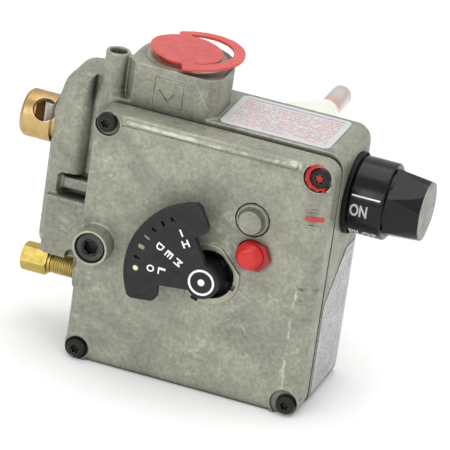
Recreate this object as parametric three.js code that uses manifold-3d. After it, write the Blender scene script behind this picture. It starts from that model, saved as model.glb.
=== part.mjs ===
// Gas control valve of a storage water heater: a die-cast body with a screwed-on front cover, an inlet on
// top, a burner outlet and a pilot fitting on the left, the gas cock's knob on the right, a thermostat dial
// and a pilot reset button in front, and a threaded tank shank with the immersion probe behind.
//
// Millimetres, +Z up. The valve is drawn about its own datum: X to the right of the cover's middle, Y back
// from the cover's front face, Z up from the middle of the cover's screw pattern. The exported group then
// moves the origin to the middle of the base of the whole valve.
import * as THREE from "three";
import { mergeVertices } from "three/addons/utils/BufferGeometryUtils.js";
import Module from "manifold-3d";

const wasm = await Module();
wasm.setup();

// ---------------------------------------------------------------- driving dimensions

const GAP = 0.1; // between pieces that rest on each other
const WALL = 4;

const COVER = { left: -53, right: 52.6, bottom: -57.7, top: 56.3, back: 15, wall: 3 };
const GASKET = { front: COVER.back + GAP, back: COVER.back + 1.3 };
const CASTING = {
  left: -53,
  right: 52.6,
  bottom: COVER.bottom,
  top: 57.4,
  front: GASKET.back + GAP,
  back: 56.5,
};
const SCREW = { x: 47.5, z: 52.5, head: 4.35, headHeight: 2.9, shank: 2.3, seat: 0.9, end: 34 };
const BOLT = { x: -45.5, z: -2.7, head: 6.3, shank: 4, collar: 7.9, collarFoot: 8.8, proud: 7.5, end: 49 };
const INLET = { x: -27, y: 35, half: 20.5, corner: 4, top: 75.6, bore: 12.3, throat: 10.8, land: 15.2 };
const PLUG_TURN = 21;
const POST = { x: -53.5, y: 22, r: 5.3, top: 76, bore: 3.7 };
const WING = { left: -79, inner: -62, front: 19.5, back: 42, top: 62.5, bottom: -21.5 };
const OUTLET = { y: 30.7, z: 34.7, r: 10.5, bore: 8, end: -93.3, seat: -79.3, windowX: -83 };
const PILOT = { y: 30, z: -31, thread: 4.75, tube: 2.4, hex: 11.1, hexEnd: -86, hexSeat: -74.3 };
const PILOT_PORT = -58.5;
const DIAL = { x: 6.2, z: -2.8, face: -11, thick: 3, rim: 34.7, scale: 29.5, lean: 152.8, end: 33.8 };
const OPENING = { r: 10.8, rim: 13.5, flat: 11.7, flatLean: 43, proud: 1.2 };
const CAP = { x: 21.2, z: 26, r: 7.2, proud: 4, neck: 4.8 };
const RESET = { x: 22.9, z: 10.8, r: 6.1, proud: 7, hex: 8.2, magnetFront: 34 };
const KNOB = { y: 38, z: 33.4, r: 16.7, base: 55.2, shoulder: 70, end: 85.2, tip: 12.7, bezel: 17.8 };
const COCK = { plugStart: 28, plugEnd: 44, big: 9.4, small: 8.2, sleeve: 12, shaft: 4, shaftEnd: 70.5 };
const SHANK = { x: 14.2, z: 32, r: 13.35, bore: 7.5, neck: 11, boss: 19, start: 61.2, end: 87 };
const PROBE = { r: 4.75, bore: 2.6, rod: 2, start: 76, end: 141.5 };
const PROTECTOR = { r: 17.8, start: 72, cone: 80.5, end: 118, wall: 1.5 };
const LEVER = { left: 2, right: 12, pad: 18, front: 35.8, thick: 2, top: 48, bottom: -29 };
const FULCRUM = { y: 39.4, z: 45.5, pin: 1.2 };
const VALVE = { x: 7, z: -24, r: 9, seatFront: 46.6 };

// ---------------------------------------------------------------- materials

function paint(color, roughness, metalness) {
  return new THREE.MeshStandardMaterial({ color, roughness, metalness });
}

const MATERIAL = {
  castAluminium: paint(0x8f9088, 0.55, 0.6),
  machinedAluminium: paint(0xa4a59a, 0.4, 0.7),
  blackScrew: paint(0x1b1c1b, 0.4, 0.6),
  blackPlastic: paint(0x222322, 0.35, 0),
  dialPlastic: paint(0x2b2c2b, 0.6, 0),
  whitePrint: paint(0xe8e8e2, 0.5, 0),
  redPlastic: paint(0xe06a66, 0.45, 0),
  buttonRed: paint(0xd8332c, 0.4, 0),
  sealRed: paint(0xb0231b, 0.35, 0),
  brass: paint(0xc9a552, 0.3, 1),
  steel: paint(0xb8b8b4, 0.3, 1),
  copper: paint(0xc9a08a, 0.4, 0.8),
  whitePlastic: paint(0xedebe0, 0.5, 0),
  gasket: paint(0x6b5330, 0.85, 0),
  foil: paint(0xc6c9cc, 0.4, 0.3),
  rubber: paint(0x1d1d1d, 0.8, 0),
};

// ---------------------------------------------------------------- solids

// A closed three.js geometry as a manifold-3d solid, whichever way round its faces were wound.
function solid(geometry) {
  const loose = geometry.index ? geometry.toNonIndexed() : geometry;
  const bare = new THREE.BufferGeometry().setAttribute("position", loose.getAttribute("position"));
  const merged = mergeVertices(bare, 1e-4);
  const corners = merged.index.array;
  const faces = [];
  for (let i = 0; i < corners.length; i += 3) {
    const [a, b, c] = [corners[i], corners[i + 1], corners[i + 2]];
    if (a !== b && b !== c && c !== a) faces.push(a, b, c);
  }
  const vertProperties = merged.attributes.position.array;
  const make = (triVerts) => new wasm.Manifold(new wasm.Mesh({ numProp: 3, vertProperties, triVerts }));
  const made = make(new Uint32Array(faces));
  return made.volume() > 0 ? made : make(new Uint32Array(faces.reverse()));
}

const join = (...solids) => solids.reduce((whole, next) => whole.add(next));
const cut = (whole, ...tools) => tools.reduce((left, tool) => left.subtract(tool), whole);

function block(x0, x1, y0, y1, z0, z1) {
  const box = new THREE.BoxGeometry(x1 - x0, y1 - y0, z1 - z0);
  return solid(box.translate((x0 + x1) / 2, (y0 + y1) / 2, (z0 + z1) / 2));
}

// Turns a geometry made about +Y so that it lies along the axis, through a centre in the other coordinates.
function alongAxis(geometry, axis, [u, v]) {
  if (axis === "x") return geometry.rotateZ(-Math.PI / 2).translate(0, u, v);
  if (axis === "z") return geometry.rotateX(Math.PI / 2).translate(u, v, 0);
  return geometry.translate(u, 0, v);
}

// A round bar, cone or, with few sides, a polygonal bar. turn rotates it about its own axis, in degrees.
function bar(axis, centre, start, end, r, { rEnd = r, sides = 24, turn = 0 } = {}) {
  const cylinder = new THREE.CylinderGeometry(rEnd, r, end - start, sides);
  cylinder.rotateY(THREE.MathUtils.degToRad(turn)).translate(0, (start + end) / 2, 0);
  return solid(alongAxis(cylinder, axis, centre));
}

function tube(axis, centre, start, end, r, bore, sides = 24) {
  const hollow = bar(axis, centre, start - 1, end + 1, bore, { sides });
  return cut(bar(axis, centre, start, end, r, { sides }), hollow);
}

// A turned piece: its profile is [radius, position along the axis], from axis to axis or closed on itself.
function turned(axis, centre, profile, sides = 24) {
  const points = profile.map(([r, t]) => new THREE.Vector2(r, t));
  return solid(alongAxis(new THREE.LatheGeometry(points, sides), axis, centre));
}

// An outline through corners [x, y, radius], each rounded by an arc of its own radius.
function outline(corners) {
  const shape = new THREE.Shape();
  corners.forEach(([x, y, r = 0], i) => {
    const corner = new THREE.Vector2(x, y);
    const [px, py] = corners[(i + corners.length - 1) % corners.length];
    const [nx, ny] = corners[(i + 1) % corners.length];
    const back = new THREE.Vector2(px, py).sub(corner).normalize();
    const on = new THREE.Vector2(nx, ny).sub(corner).normalize();
    if (!r) {
      if (i) shape.lineTo(x, y);
      else shape.moveTo(x, y);
      return;
    }
    const half = Math.acos(THREE.MathUtils.clamp(back.dot(on), -1, 1)) / 2;
    const start = corner.clone().addScaledVector(back, r / Math.tan(half));
    const end = corner.clone().addScaledVector(on, r / Math.tan(half));
    const middle = corner.clone().addScaledVector(back.clone().add(on).normalize(), r / Math.sin(half));
    const angle = (point) => Math.atan2(point.y - middle.y, point.x - middle.x);
    if (i) shape.lineTo(start.x, start.y);
    else shape.moveTo(start.x, start.y);
    shape.absarc(middle.x, middle.y, r, angle(start), angle(end), back.cross(on) > 0);
  });
  shape.closePath();
  return shape;
}

function rectangle(x0, x1, y0, y1, r = 0) {
  return outline([[x0, y0, r], [x1, y0, r], [x1, y1, r], [x0, y1, r]]);
}

// A prism of an outline drawn in the two other coordinates, in the order X, Y, Z.
function prism(axis, shape, start, end, curveSegments = 4) {
  const depth = end - start;
  const body = new THREE.ExtrudeGeometry(shape, { depth, bevelEnabled: false, curveSegments });
  const [X, Y, Z] = [new THREE.Vector3(1, 0, 0), new THREE.Vector3(0, 1, 0), new THREE.Vector3(0, 0, 1)];
  const turn = new THREE.Matrix4();
  if (axis === "x") body.applyMatrix4(turn.makeBasis(Y, Z, X)).translate(start, 0, 0);
  if (axis === "y") body.applyMatrix4(turn.makeBasis(X, Z, Y.clone().negate())).translate(0, end, 0);
  if (axis === "z") body.translate(0, 0, start);
  return solid(body);
}

class HelixCurve extends THREE.Curve {
  constructor(r, length, turns) {
    super();
    Object.assign(this, { r, length, turns });
  }
  getPoint(t, target = new THREE.Vector3()) {
    const angle = 2 * Math.PI * this.turns * t;
    return target.set(this.r * Math.cos(angle), this.length * t, this.r * Math.sin(angle));
  }
}

// A coil spring from start to end, measured over the wire.
function spring(axis, centre, start, end, r, wire, turns) {
  const section = new THREE.Shape().absarc(0, 0, wire / 2, 0, 2 * Math.PI);
  const extrudePath = new HelixCurve(r, end - start - wire, turns);
  const steps = Math.round(turns * 9);
  const coil = new THREE.ExtrudeGeometry(section, { extrudePath, steps, curveSegments: 3 });
  return solid(alongAxis(coil.translate(0, start + wire / 2, 0), axis, centre));
}

const valve = new THREE.Group();

// Adds a sub-part, one closed solid, as a named mesh.
function part(name, made, material) {
  const { vertProperties, triVerts } = made.getMesh();
  const geometry = new THREE.BufferGeometry();
  geometry.setAttribute("position", new THREE.BufferAttribute(new Float32Array(vertProperties), 3));
  geometry.setIndex(new THREE.BufferAttribute(new Uint32Array(triVerts), 1));
  geometry.computeVertexNormals();
  const mesh = new THREE.Mesh(geometry, material);
  mesh.name = name;
  valve.add(mesh);
}

const screwPlaces = {
  top_left: [-SCREW.x, SCREW.z],
  top_right: [SCREW.x, SCREW.z],
  bottom_left: [-SCREW.x, -SCREW.z],
  bottom_right: [SCREW.x, -SCREW.z],
};
const atScrews = (make) => Object.values(screwPlaces).map(make);
const boltCentre = [BOLT.x, BOLT.z];
const dialCentre = [DIAL.x, DIAL.z];
const capCentre = [CAP.x, CAP.z];
const resetCentre = [RESET.x, RESET.z];
const knobCentre = [KNOB.y, KNOB.z];
const shankCentre = [SHANK.x, SHANK.z];
const outletCentre = [OUTLET.y, OUTLET.z];
const pilotCentre = [PILOT.y, PILOT.z];
const inletCentre = [INLET.x, INLET.y];

// ---------------------------------------------------------------- main casting

// The inlet boss seen from above: flat in front with chamfered corners, half round behind.
function inletBoss() {
  const { x, y, half, corner, top } = INLET;
  const front = CASTING.front;
  const shape = new THREE.Shape();
  shape.moveTo(x - half + corner, front);
  shape.lineTo(x + half - corner, front);
  shape.lineTo(x + half, front + corner);
  shape.lineTo(x + half, y);
  shape.absarc(x, y, half, 0, Math.PI);
  shape.lineTo(x - half, front + corner);
  shape.closePath();
  const land = bar("z", inletCentre, top - 1, top, INLET.land);
  return join(prism("z", shape, 50, top - 0.4, 10), land);
}

// The flow arrow's panel, raised on the front of the inlet boss.
function arrowPanel() {
  const front = CASTING.front;
  const panel = prism("y", rectangle(-36.5, -22.5, 59, 73, 0.5), front - 0.5, front + 1);
  const middle = -29.5;
  const half = [[4, 65], [2.8, 65.8]];
  const left = half.map(([x, z]) => [middle - x, z]);
  const right = half.map(([x, z]) => [middle + x, z]);
  const arrow = outline([left[0], [middle, 60.6], ...right, [middle, 62.7], left[1]]);
  return cut(panel, prism("y", arrow, front - 1, front - 0.1));
}

// The manifold on the left: a rounded wall that carries the burner outlet, with the pilot block under it.
function wing() {
  const { left, front, back, top, bottom } = WING;
  const wall = outline([[left, bottom, 3], [-50, bottom], [-50, top], [-74, top, 9], [left, 42, 20]]);
  const side = outline([[left, front, 4], [-40, front], [-40, back], [left, back, 3]]);
  const rounded = prism("y", wall, front, back, 5).intersect(prism("z", side, bottom - 1, top + 1));
  const channelShape = outline([[WING.inner, 8], [-50, 8], [-50, 56], [-60, 56, 3]]);
  const channel = prism("y", channelShape, front - 1, 24.5);
  const pocket = block(-72.5, -61, front - 1, 31, 5.3, 17.5);
  const rib = prism("x", rectangle(24, 33, 9, 13.5, 1), -73.5, -52);
  const base = outline([[-75.8, bottom, 1.5], [-50, bottom], [-50, 5.3], [-75.8, 5.3, 1.5]]);
  const slope = outline([[-75.8, 17, 2], [-40, 17], [-40, 40], [-75.8, 40, 2]]);
  const pilotBlock = prism("y", base, 17, 40).intersect(prism("z", slope, -25, 10));
  const notch = bar("y", [-61, -20], 16, 26, 3.4, { sides: 12 });
  return cut(join(cut(rounded, channel, pocket), rib, pilotBlock), notch);
}

function mainCasting() {
  const { left, right, bottom, top, front, back } = CASTING;
  const elevation = outline([[left, bottom, 4], [right, bottom, 3.5], [right, top, 8], [left, top, 4]]);
  const plan = outline([[left, front - 1], [right, front - 1], [right, back, 3], [left, back, 3]]);
  const shell = prism("y", elevation, front, back).intersect(prism("z", plan, -60, 60));
  const cavity = cut(
    block(left + WALL, right - WALL, front - 1, back - 6, bottom + WALL, top - WALL),
    ...atScrews((centre) => bar("y", centre, front - 2, back, 6.2, { sides: 16 })),
    bar("y", boltCentre, front - 2, back, 7.6, { sides: 16 }),
  );
  const bracket = (x) => block(x, x + 2, FULCRUM.y - 2.4, back - 4, FULCRUM.z - 4, FULCRUM.z + 4);
  const outside = join(
    shell,
    inletBoss(),
    arrowPanel(),
    wing(),
    bar("z", [POST.x, POST.y], 50, POST.top, POST.r),
    bar("z", [POST.x, POST.y], 50, 60, 7.2, { rEnd: 5.6 }).subtract(block(-70, -40, 0, front, 40, 70)),
    bar("x", pilotCentre, PILOT_PORT, left + 2, 8.5),
    bar("y", shankCentre, back - 2, SHANK.start - GAP, SHANK.boss),
  );
  const hollow = cut(outside, cavity);
  return cut(
    join(hollow, bracket(-0.9), bracket(12.6)),
    bar("x", [FULCRUM.y, FULCRUM.z], -3, 20, FULCRUM.pin + 0.15, { sides: 12 }),
    bar("z", inletCentre, 57, INLET.top + 1, INLET.bore, { sides: 32 }),
    bar("z", inletCentre, 50, 60, INLET.throat, { sides: 32 }),
    bar("z", [POST.x, POST.y], 62, POST.top + 1, POST.bore, { sides: 16 }),
    bar("z", [POST.x, POST.y], 52, 64, 1.4, { sides: 12 }),
    bar("x", outletCentre, OUTLET.seat - 1, -70, 9.3),
    bar("x", [31.5, OUTLET.z], -71, left + WALL + 1, 5.8, { sides: 16 }),
    bar("x", pilotCentre, PILOT_PORT - 1, left + WALL + 1, PILOT.thread + 0.2, { sides: 16 }),
    bar("y", shankCentre, back - 8, SHANK.start + 1, SHANK.neck + 0.3),
    bar("x", knobCentre, right - WALL - 1, right + 1, 7, { sides: 24 }),
    bar("y", boltCentre, front - 2, BOLT.end + 0.5, BOLT.shank + 0.2, { sides: 16 }),
    ...atScrews((centre) => bar("y", centre, front - 2, SCREW.end + 0.5, SCREW.shank + 0.15, { sides: 12 })),
  );
}
part("main_casting", mainCasting(), MATERIAL.castAluminium);

// ---------------------------------------------------------------- front cover and its gasket

const coverOutline = (inset) => {
  const { left, right, bottom, top } = COVER;
  return outline([
    [left + inset, bottom + inset, 5.2],
    [right - inset, bottom + inset, 5.2],
    [right - inset, top - inset, 7],
    [left + inset, top - inset, 5.2],
  ]);
};

// The raised rim of the dial's opening: round, with one flat towards the upper right.
function openingRim(r, flat, start, end) {
  const away = block(flat, 30, start - 1, end + 1, -30, 30);
  const geometry = bar("y", [0, 0], start, end, r, { sides: 32 }).subtract(away);
  return geometry.rotate([0, -OPENING.flatLean, 0]).translate([DIAL.x, 0, DIAL.z]);
}

// Two short raised bars and a raised index bar between them, level with the knob's axis.
function indexMark(z, middle) {
  const bars = [-3.4, middle, 3.4].map((dz) => block(44.5, 50.6, -0.5, 1, z + dz - 0.55, z + dz + 0.55));
  return join(...bars);
}

function frontCover() {
  const { left, right, bottom, top, back, wall } = COVER;
  const plan = outline([[left, 0, 1.6], [right, 0, 6], [right, back], [left, back]]);
  const section = outline([[0, bottom, 1.6], [back, bottom], [back, top], [0, top, 3.2]]);
  const skin = prism("y", coverOutline(0), 0, back)
    .intersect(prism("z", plan, -70, 70, 6))
    .intersect(prism("x", section, -70, 70, 6));
  const inside = cut(
    prism("y", rectangle(left + WALL, right - WALL, bottom + WALL, top - WALL, 2), wall, back + 1),
    ...atScrews((centre) => bar("y", centre, 0, back + 2, 6.2, { sides: 16 })),
    bar("y", boltCentre, 0, back + 2, 8.4, { sides: 24 }),
    bar("y", resetCentre, 0, 12, 8.2, { sides: 24 }),
    bar("y", capCentre, 0, 12.9, 9.6, { sides: 24 }),
  );
  const collar = bar("y", boltCentre, -BOLT.proud, 3, BOLT.collar, { rEnd: BOLT.collarFoot });
  const collarRoot = bar("y", boltCentre, 2, back, BOLT.collarFoot);
  const solidCover = join(
    cut(skin, inside),
    cut(join(collar, collarRoot), block(-80, left - 1.4, -10, 20, -30, 30)),
    openingRim(OPENING.rim, OPENING.flat, -OPENING.proud, 2),
    indexMark(KNOB.z, 0),
    indexMark(-1.5, 1),
  );
  return cut(
    solidCover,
    bar("y", boltCentre, -BOLT.proud - 1, 1, BOLT.head + 0.45),
    bar("y", boltCentre, 0, back + 1, BOLT.shank + 0.3, { sides: 16 }),
    openingRim(OPENING.r, OPENING.flat - 1.6, -3, wall + 4),
    bar("y", capCentre, -1, 1.6, CAP.r + 0.5),
    bar("y", capCentre, 0, 7, CAP.neck + 0.3, { sides: 24 }),
    bar("y", capCentre, 5.5, back, 7.8, { sides: 24 }),
    bar("y", resetCentre, -1, 12.5, RESET.r + 0.3, { sides: 24 }),
    ...atScrews((centre) => bar("y", centre, -1, SCREW.seat, SCREW.head + 0.6, { sides: 24 })),
    ...atScrews((centre) => bar("y", centre, 0, back + 1, SCREW.shank + 0.3, { sides: 12 })),
  );
}
part("front_cover", frontCover(), MATERIAL.castAluminium);

function bodyGasket() {
  const { left, right, bottom, top } = COVER;
  const { front, back } = GASKET;
  const frame = cut(
    prism("y", coverOutline(0.5), front, back),
    cut(
      prism("y", rectangle(left + WALL, right - WALL, bottom + WALL, top - WALL, 2), front - 1, back + 1),
      ...atScrews((centre) => bar("y", centre, front - 2, back + 2, 6.2, { sides: 16 })),
      bar("y", boltCentre, front - 2, back + 2, 7.6, { sides: 16 }),
    ),
  );
  return cut(
    frame,
    bar("y", boltCentre, front - 1, back + 1, BOLT.shank + 0.3, { sides: 16 }),
    ...atScrews((centre) => bar("y", centre, front - 1, back + 1, SCREW.shank + 0.3, { sides: 12 })),
  );
}
part("body_gasket", bodyGasket(), MATERIAL.gasket);

// ---------------------------------------------------------------- fasteners

// A six-lobed driver recess, as a twelve-cornered star.
function starRecess(centre, r, start, end) {
  const points = Array.from({ length: 12 }, (_, i) => {
    const reach = i % 2 ? r * 0.72 : r;
    const angle = (i * Math.PI) / 6;
    return [centre[0] + reach * Math.cos(angle), centre[1] + reach * Math.sin(angle)];
  });
  return prism("y", outline(points), start, end);
}

function coverScrew(centre) {
  const { head, headHeight, shank, seat, end } = SCREW;
  const face = seat - GAP - headHeight;
  const profile = [[0, face], [2.6, face], [3.7, face + 0.5], [head, face + 1.5], [head, seat - GAP]];
  const body = turned("y", centre, [...profile, [shank, seat - GAP], [shank, end], [0, end]], 20);
  return cut(body, starRecess(centre, 2.1, face - 1, face + 1.9));
}
for (const [place, centre] of Object.entries(screwPlaces)) {
  part(`cover_screw_${place}`, coverScrew(centre), MATERIAL.blackScrew);
}

function mountingBolt() {
  const { head, shank, proud, end } = BOLT;
  const face = -proud + 0.8;
  const capHead = [[0, face], [head - 0.7, face], [head, face + 0.7], [head, 0.9]];
  const profile = [...capHead, [shank, 0.9], [shank, end], [0, end]];
  const socket = bar("y", boltCentre, face - 1, face + 4, 3.46, { sides: 6 });
  return cut(turned("y", boltCentre, profile, 24), socket);
}
part("mounting_bolt", mountingBolt(), MATERIAL.blackScrew);

// Red sealing compound lies in a crescent round the top right screw, in its counterbore and over the edge.
function tamperSeal() {
  const [x, z] = screwPlaces.top_right;
  const ring = cut(
    bar("y", [x - 1.6, z - 1.2], -0.9, SCREW.seat - GAP, 6.6, { sides: 24 }),
    bar("y", [x, z], -2, 2, SCREW.head + 0.15, { sides: 24 }),
  );
  const half = prism("y", outline([[x - 12, z + 5], [x - 12, z - 12], [x + 4, z - 12]]), -2, 2);
  const seal = ring.intersect(half);
  const pocket = bar("y", [x, z], SCREW.seat - 3, SCREW.seat, SCREW.head + 0.5, { sides: 24 });
  return join(seal.intersect(pocket), seal.intersect(block(x - 12, x + 5, -2, -0.05, z - 12, z + 6)));
}
part("tamper_seal", tamperSeal(), MATERIAL.sealRed);

// ---------------------------------------------------------------- labels and paint

part("index_paint", block(44.7, 50.4, -0.75, -0.55, KNOB.z - 0.5, KNOB.z + 0.5), MATERIAL.sealRed);
const topLabel = rectangle(-5, 44, 18.5, 53, 3);
part("top_label", prism("z", topLabel, CASTING.top + 0.05, CASTING.top + 0.3), MATERIAL.foil);
const sideLabel = outline([[17.6, -53.4, 1], [53, -53.4, 1], [53, 6.5, 1], [40, 6.5, 2], [17.6, -12, 2]]);
part("side_label", prism("x", sideLabel, CASTING.right + 0.05, CASTING.right + 0.3), MATERIAL.foil);

// ---------------------------------------------------------------- inlet

// The pull-tab shipping plug: a disc on a skirt in the bore, and a ring joined to it at two shoulders.
function inletPlug() {
  const start = INLET.top + 2.4;
  const disc = bar("z", inletCentre, start, start + 1.3, 16.5, { sides: 32 });
  const skirt = cut(
    bar("z", inletCentre, INLET.top - 8, start + 0.5, INLET.bore - 0.4, { sides: 32 }),
    bar("z", inletCentre, INLET.top - 9, start - 0.6, INLET.bore - 2, { sides: 32 }),
  );
  const ringCentre = [INLET.x + 2.8, INLET.y - 0.8];
  const slotCentre = [INLET.x + 2.2, INLET.y];
  const ring = cut(
    bar("z", ringCentre, start - 0.3, start + 1.2, 21.2, { sides: 36 }),
    bar("z", slotCentre, start - 1, start + 3, 16.9, { sides: 36 }),
    block(INLET.x - 30, INLET.x - 3.5, 0, 70, start - 1, start + 3),
  );
  const shoulder = (near, far) => block(INLET.x - 3.4, INLET.x + 1.6, near, far, start - 0.3, start + 1.2);
  const nearShoulder = shoulder(INLET.y - 18.6, INLET.y - 15.4);
  const farShoulder = shoulder(INLET.y + 15.4, INLET.y + 18.6);
  const plug = join(disc, skirt, ring, nearShoulder, farShoulder).translate([-INLET.x, -INLET.y, 0]);
  return plug.rotate([0, 0, PLUG_TURN]).translate([INLET.x, INLET.y, 0]);
}
part("inlet_plug", inletPlug(), MATERIAL.redPlastic);

// The inlet strainer: a rimmed disc with a grid of square holes.
function inletScreen() {
  const disc = bar("z", inletCentre, 57.1, 58.1, INLET.bore - 0.3);
  const holes = [];
  for (const i of [-1, 0, 1]) {
    for (const j of [-1, 0, 1]) {
      const [x, y] = [INLET.x + i * 5, INLET.y + j * 5];
      holes.push(block(x - 1.9, x + 1.9, y - 1.9, y + 1.9, 56, 60));
    }
  }
  return cut(disc, ...holes);
}
part("inlet_screen", inletScreen(), MATERIAL.steel);

// ---------------------------------------------------------------- pilot line

const postTop = POST.top - 1.4;
const screwR = POST.bore - 0.2;
const pilotScrew = cut(
  turned("z", [POST.x, POST.y], [[0, 66], [screwR, 68], [screwR, postTop], [0, postTop]], 16),
  block(POST.x - 5, POST.x + 5, POST.y - 0.5, POST.y + 0.5, postTop - 1.4, postTop + 1),
);
part("pilot_adjusting_screw", pilotScrew, MATERIAL.steel);

function pilotNut() {
  const { thread, tube: bore, hex, hexEnd, hexSeat } = PILOT;
  const across = hex / Math.sqrt(3);
  const head = bar("x", pilotCentre, hexEnd, hexSeat, across, { sides: 6, turn: 30 });
  const chamfer = [[0, hexEnd], [across - 0.9, hexEnd], [across + 0.2, hexEnd + 1]];
  const faced = turned("x", pilotCentre, [...chamfer, [across + 0.2, hexSeat], [0, hexSeat]]);
  const undercut = [[0, hexSeat - 1], [3.9, hexSeat - 1], [3.9, hexSeat + 1], [thread, hexSeat + 1.6]];
  const neck = turned("x", pilotCentre, [...undercut, [thread, -56.5], [0, -56.5]]);
  return cut(join(head.intersect(faced), neck), bar("x", pilotCentre, hexEnd - 1, -50, bore, { sides: 16 }));
}
part("pilot_nut", pilotNut(), MATERIAL.brass);
const ferrule = [[2.5, -56.2], [3.9, -54.6], [3.9, -53.4], [2.5, -51.8], [2.5, -56.2]];
part("pilot_ferrule", turned("x", pilotCentre, ferrule, 16), MATERIAL.brass);

// ---------------------------------------------------------------- burner outlet

function outletBarrel() {
  const { r, bore, end, seat, windowX } = OUTLET;
  const mouth = [[bore, end + 1], [bore + 1, end], [r - 0.9, end], [r, end + 1.2]];
  const shoulder = [[r, seat], [9, seat], [9, -70.3], [5.6, -70.3], [5.6, -72], [bore, -72]];
  const barrel = turned("x", outletCentre, [...mouth, ...shoulder, mouth[0]], 36);
  const hole = bar("z", [0, 0], 0, 20, 5).rotate([52, 0, 0]);
  const window = hole.translate([windowX, OUTLET.y, OUTLET.z]);
  return cut(barrel, window);
}
part("outlet_barrel", outletBarrel(), MATERIAL.brass);
const crossPin = bar("z", [OUTLET.windowX + 0.6, OUTLET.y], OUTLET.z - 7.2, OUTLET.z + 7.2, 2.9);
part("outlet_cross_pin", crossPin, MATERIAL.steel);

// ---------------------------------------------------------------- thermostat dial

// The dial's sector, drawn about its pivot with the middle of its scale along +X, then leant to its rest.
function dialPlate() {
  const { rim, scale, face, thick, lean } = DIAL;
  const spread = THREE.MathUtils.degToRad(33.2);
  const offset = 4.4;
  const lug = 7.7;
  const edge = (along, across, side) => [
    along * Math.cos(spread) - across * Math.sin(spread),
    side * (along * Math.sin(spread) + across * Math.cos(spread)),
  ];
  const shape = new THREE.Shape();
  const upTo = ([x, y]) => shape.lineTo(x, y);
  const lugOuter = Math.sqrt(rim ** 2 - (offset + lug) ** 2);
  const rimAngle = (point) => Math.atan2(point[1], point[0]);
  shape.moveTo(0, 0);
  upTo(edge(0, offset, -1));
  upTo(edge(19.6, offset, -1));
  upTo(edge(19.6, offset + lug - 2, -1));
  upTo(edge(21.6, offset + lug, -1));
  upTo(edge(lugOuter - 2.4, offset + lug, -1));
  const near = edge(lugOuter + 0.5, offset + lug - 2.2, -1);
  const far = edge(lugOuter + 0.5, offset + lug - 2.2, 1);
  shape.absarc(0, 0, rim, rimAngle(near), rimAngle(far));
  upTo(edge(lugOuter - 2.4, offset + lug, 1));
  upTo(edge(21.6, offset + lug, 1));
  upTo(edge(19.6, offset + lug - 2, 1));
  upTo(edge(19.6, offset, 1));
  upTo(edge(0, offset, 1));
  shape.closePath();
  const sector = join(
    prism("y", shape, face, face + thick, 14),
    bar("y", [0, 0], face, face + thick, 7.4, { sides: 24 }),
  );
  // Scale marks at every ten degrees: a round hole at each end, an oval beside the middle and slots between.
  const through = [face - 1, face + thick + 1];
  const slotShape = (reach) => rectangle(scale - reach, scale + reach, -0.65, 0.65, 0.6);
  const slot = (reach) => prism("y", slotShape(reach), ...through, 1);
  const hole = bar("y", [scale, 0], ...through, 1.35, { sides: 12 });
  const marks = [hole, slot(1.9), slot(1.4), slot(1.1), slot(1.4), slot(2.2), hole];
  const holes = marks.map((mark, i) => mark.rotate([0, 30 - 10 * i, 0]));
  return cut(sector, ...holes).rotate([0, -lean, 0]).translate([DIAL.x, 0, DIAL.z]);
}
part("dial_plate", dialPlate(), MATERIAL.dialPlastic);

// The hub under the plate carries a stop tab, and the shaft is pinned in it.
function dialHub() {
  const start = DIAL.face + DIAL.thick + GAP;
  const hub = bar("y", [0, 0], start, 2.6, 7.4, { sides: 24 });
  const tab = block(6, 9.6, start, start + 2.5, -2, 2).rotate([0, 104, 0]);
  const ears = [20, -50, 200].map((angle) => block(6, 9.2, -0.6, 2.2, -1.5, 1.5).rotate([0, -angle, 0]));
  const bored = cut(join(hub, tab, ...ears), bar("y", [0, 0], -20, 20, 3.1, { sides: 16 }));
  return bored.translate([DIAL.x, 0, DIAL.z]);
}
part("dial_hub", dialHub(), MATERIAL.blackPlastic);
const printed = [DIAL.face - 0.35, DIAL.face - 0.05];
part("dial_badge", tube("y", dialCentre, ...printed, 5.7, 4.7), MATERIAL.whitePrint);
part("dial_pivot_dot", bar("y", dialCentre, ...printed, 1.5, { sides: 16 }), MATERIAL.whitePrint);
const adjustingScrew = turned("y", dialCentre, [
  [0, DIAL.face + DIAL.thick + GAP],
  [3, DIAL.face + DIAL.thick + GAP],
  [3, DIAL.end - 4],
  [1.6, DIAL.end - 1],
  [1, DIAL.end],
  [0, DIAL.end],
], 16);
part("dial_adjusting_screw", adjustingScrew, MATERIAL.brass);
part("dial_bushing", tube("y", dialCentre, COVER.wall + GAP, 8, 12.6, 3.2), MATERIAL.blackPlastic);

// ---------------------------------------------------------------- pressure regulator

const capFace = -CAP.proud;
const regulatorCap = turned("y", capCentre, [
  [0, capFace],
  [4.6, capFace],
  [5.2, capFace + 0.6],
  [6.3, -0.9],
  [CAP.r, 0.2],
  [CAP.r, 1.5],
  [CAP.neck, 1.5],
  [CAP.neck, 5],
  [0, 5],
], 28);
part("regulator_cap", regulatorCap, MATERIAL.machinedAluminium);
part("regulator_spring", spring("y", capCentre, 5.2, 12.6, 3.2, 0.9, 4), MATERIAL.steel);
const diaphragm = [[0, 12.9], [5, 12.9], [6, 13.3], [8.6, 13.1], [8.6, 14], [6, 14.1], [5, 13.9], [0, 13.9]];
part("regulator_diaphragm", turned("y", capCentre, diaphragm), MATERIAL.rubber);

// ---------------------------------------------------------------- pilot reset button and safety valve

const buttonFace = -RESET.proud;
const resetButton = turned("y", resetCentre, [
  [0, buttonFace + 0.3],
  [0.9, buttonFace],
  [4, buttonFace],
  [4.6, buttonFace + 0.5],
  [5.6, buttonFace + 1.4],
  [RESET.r, buttonFace + 3],
  [RESET.r, 2.6],
  [0, 2.6],
], 28);
part("reset_button", resetButton, MATERIAL.buttonRed);

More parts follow.
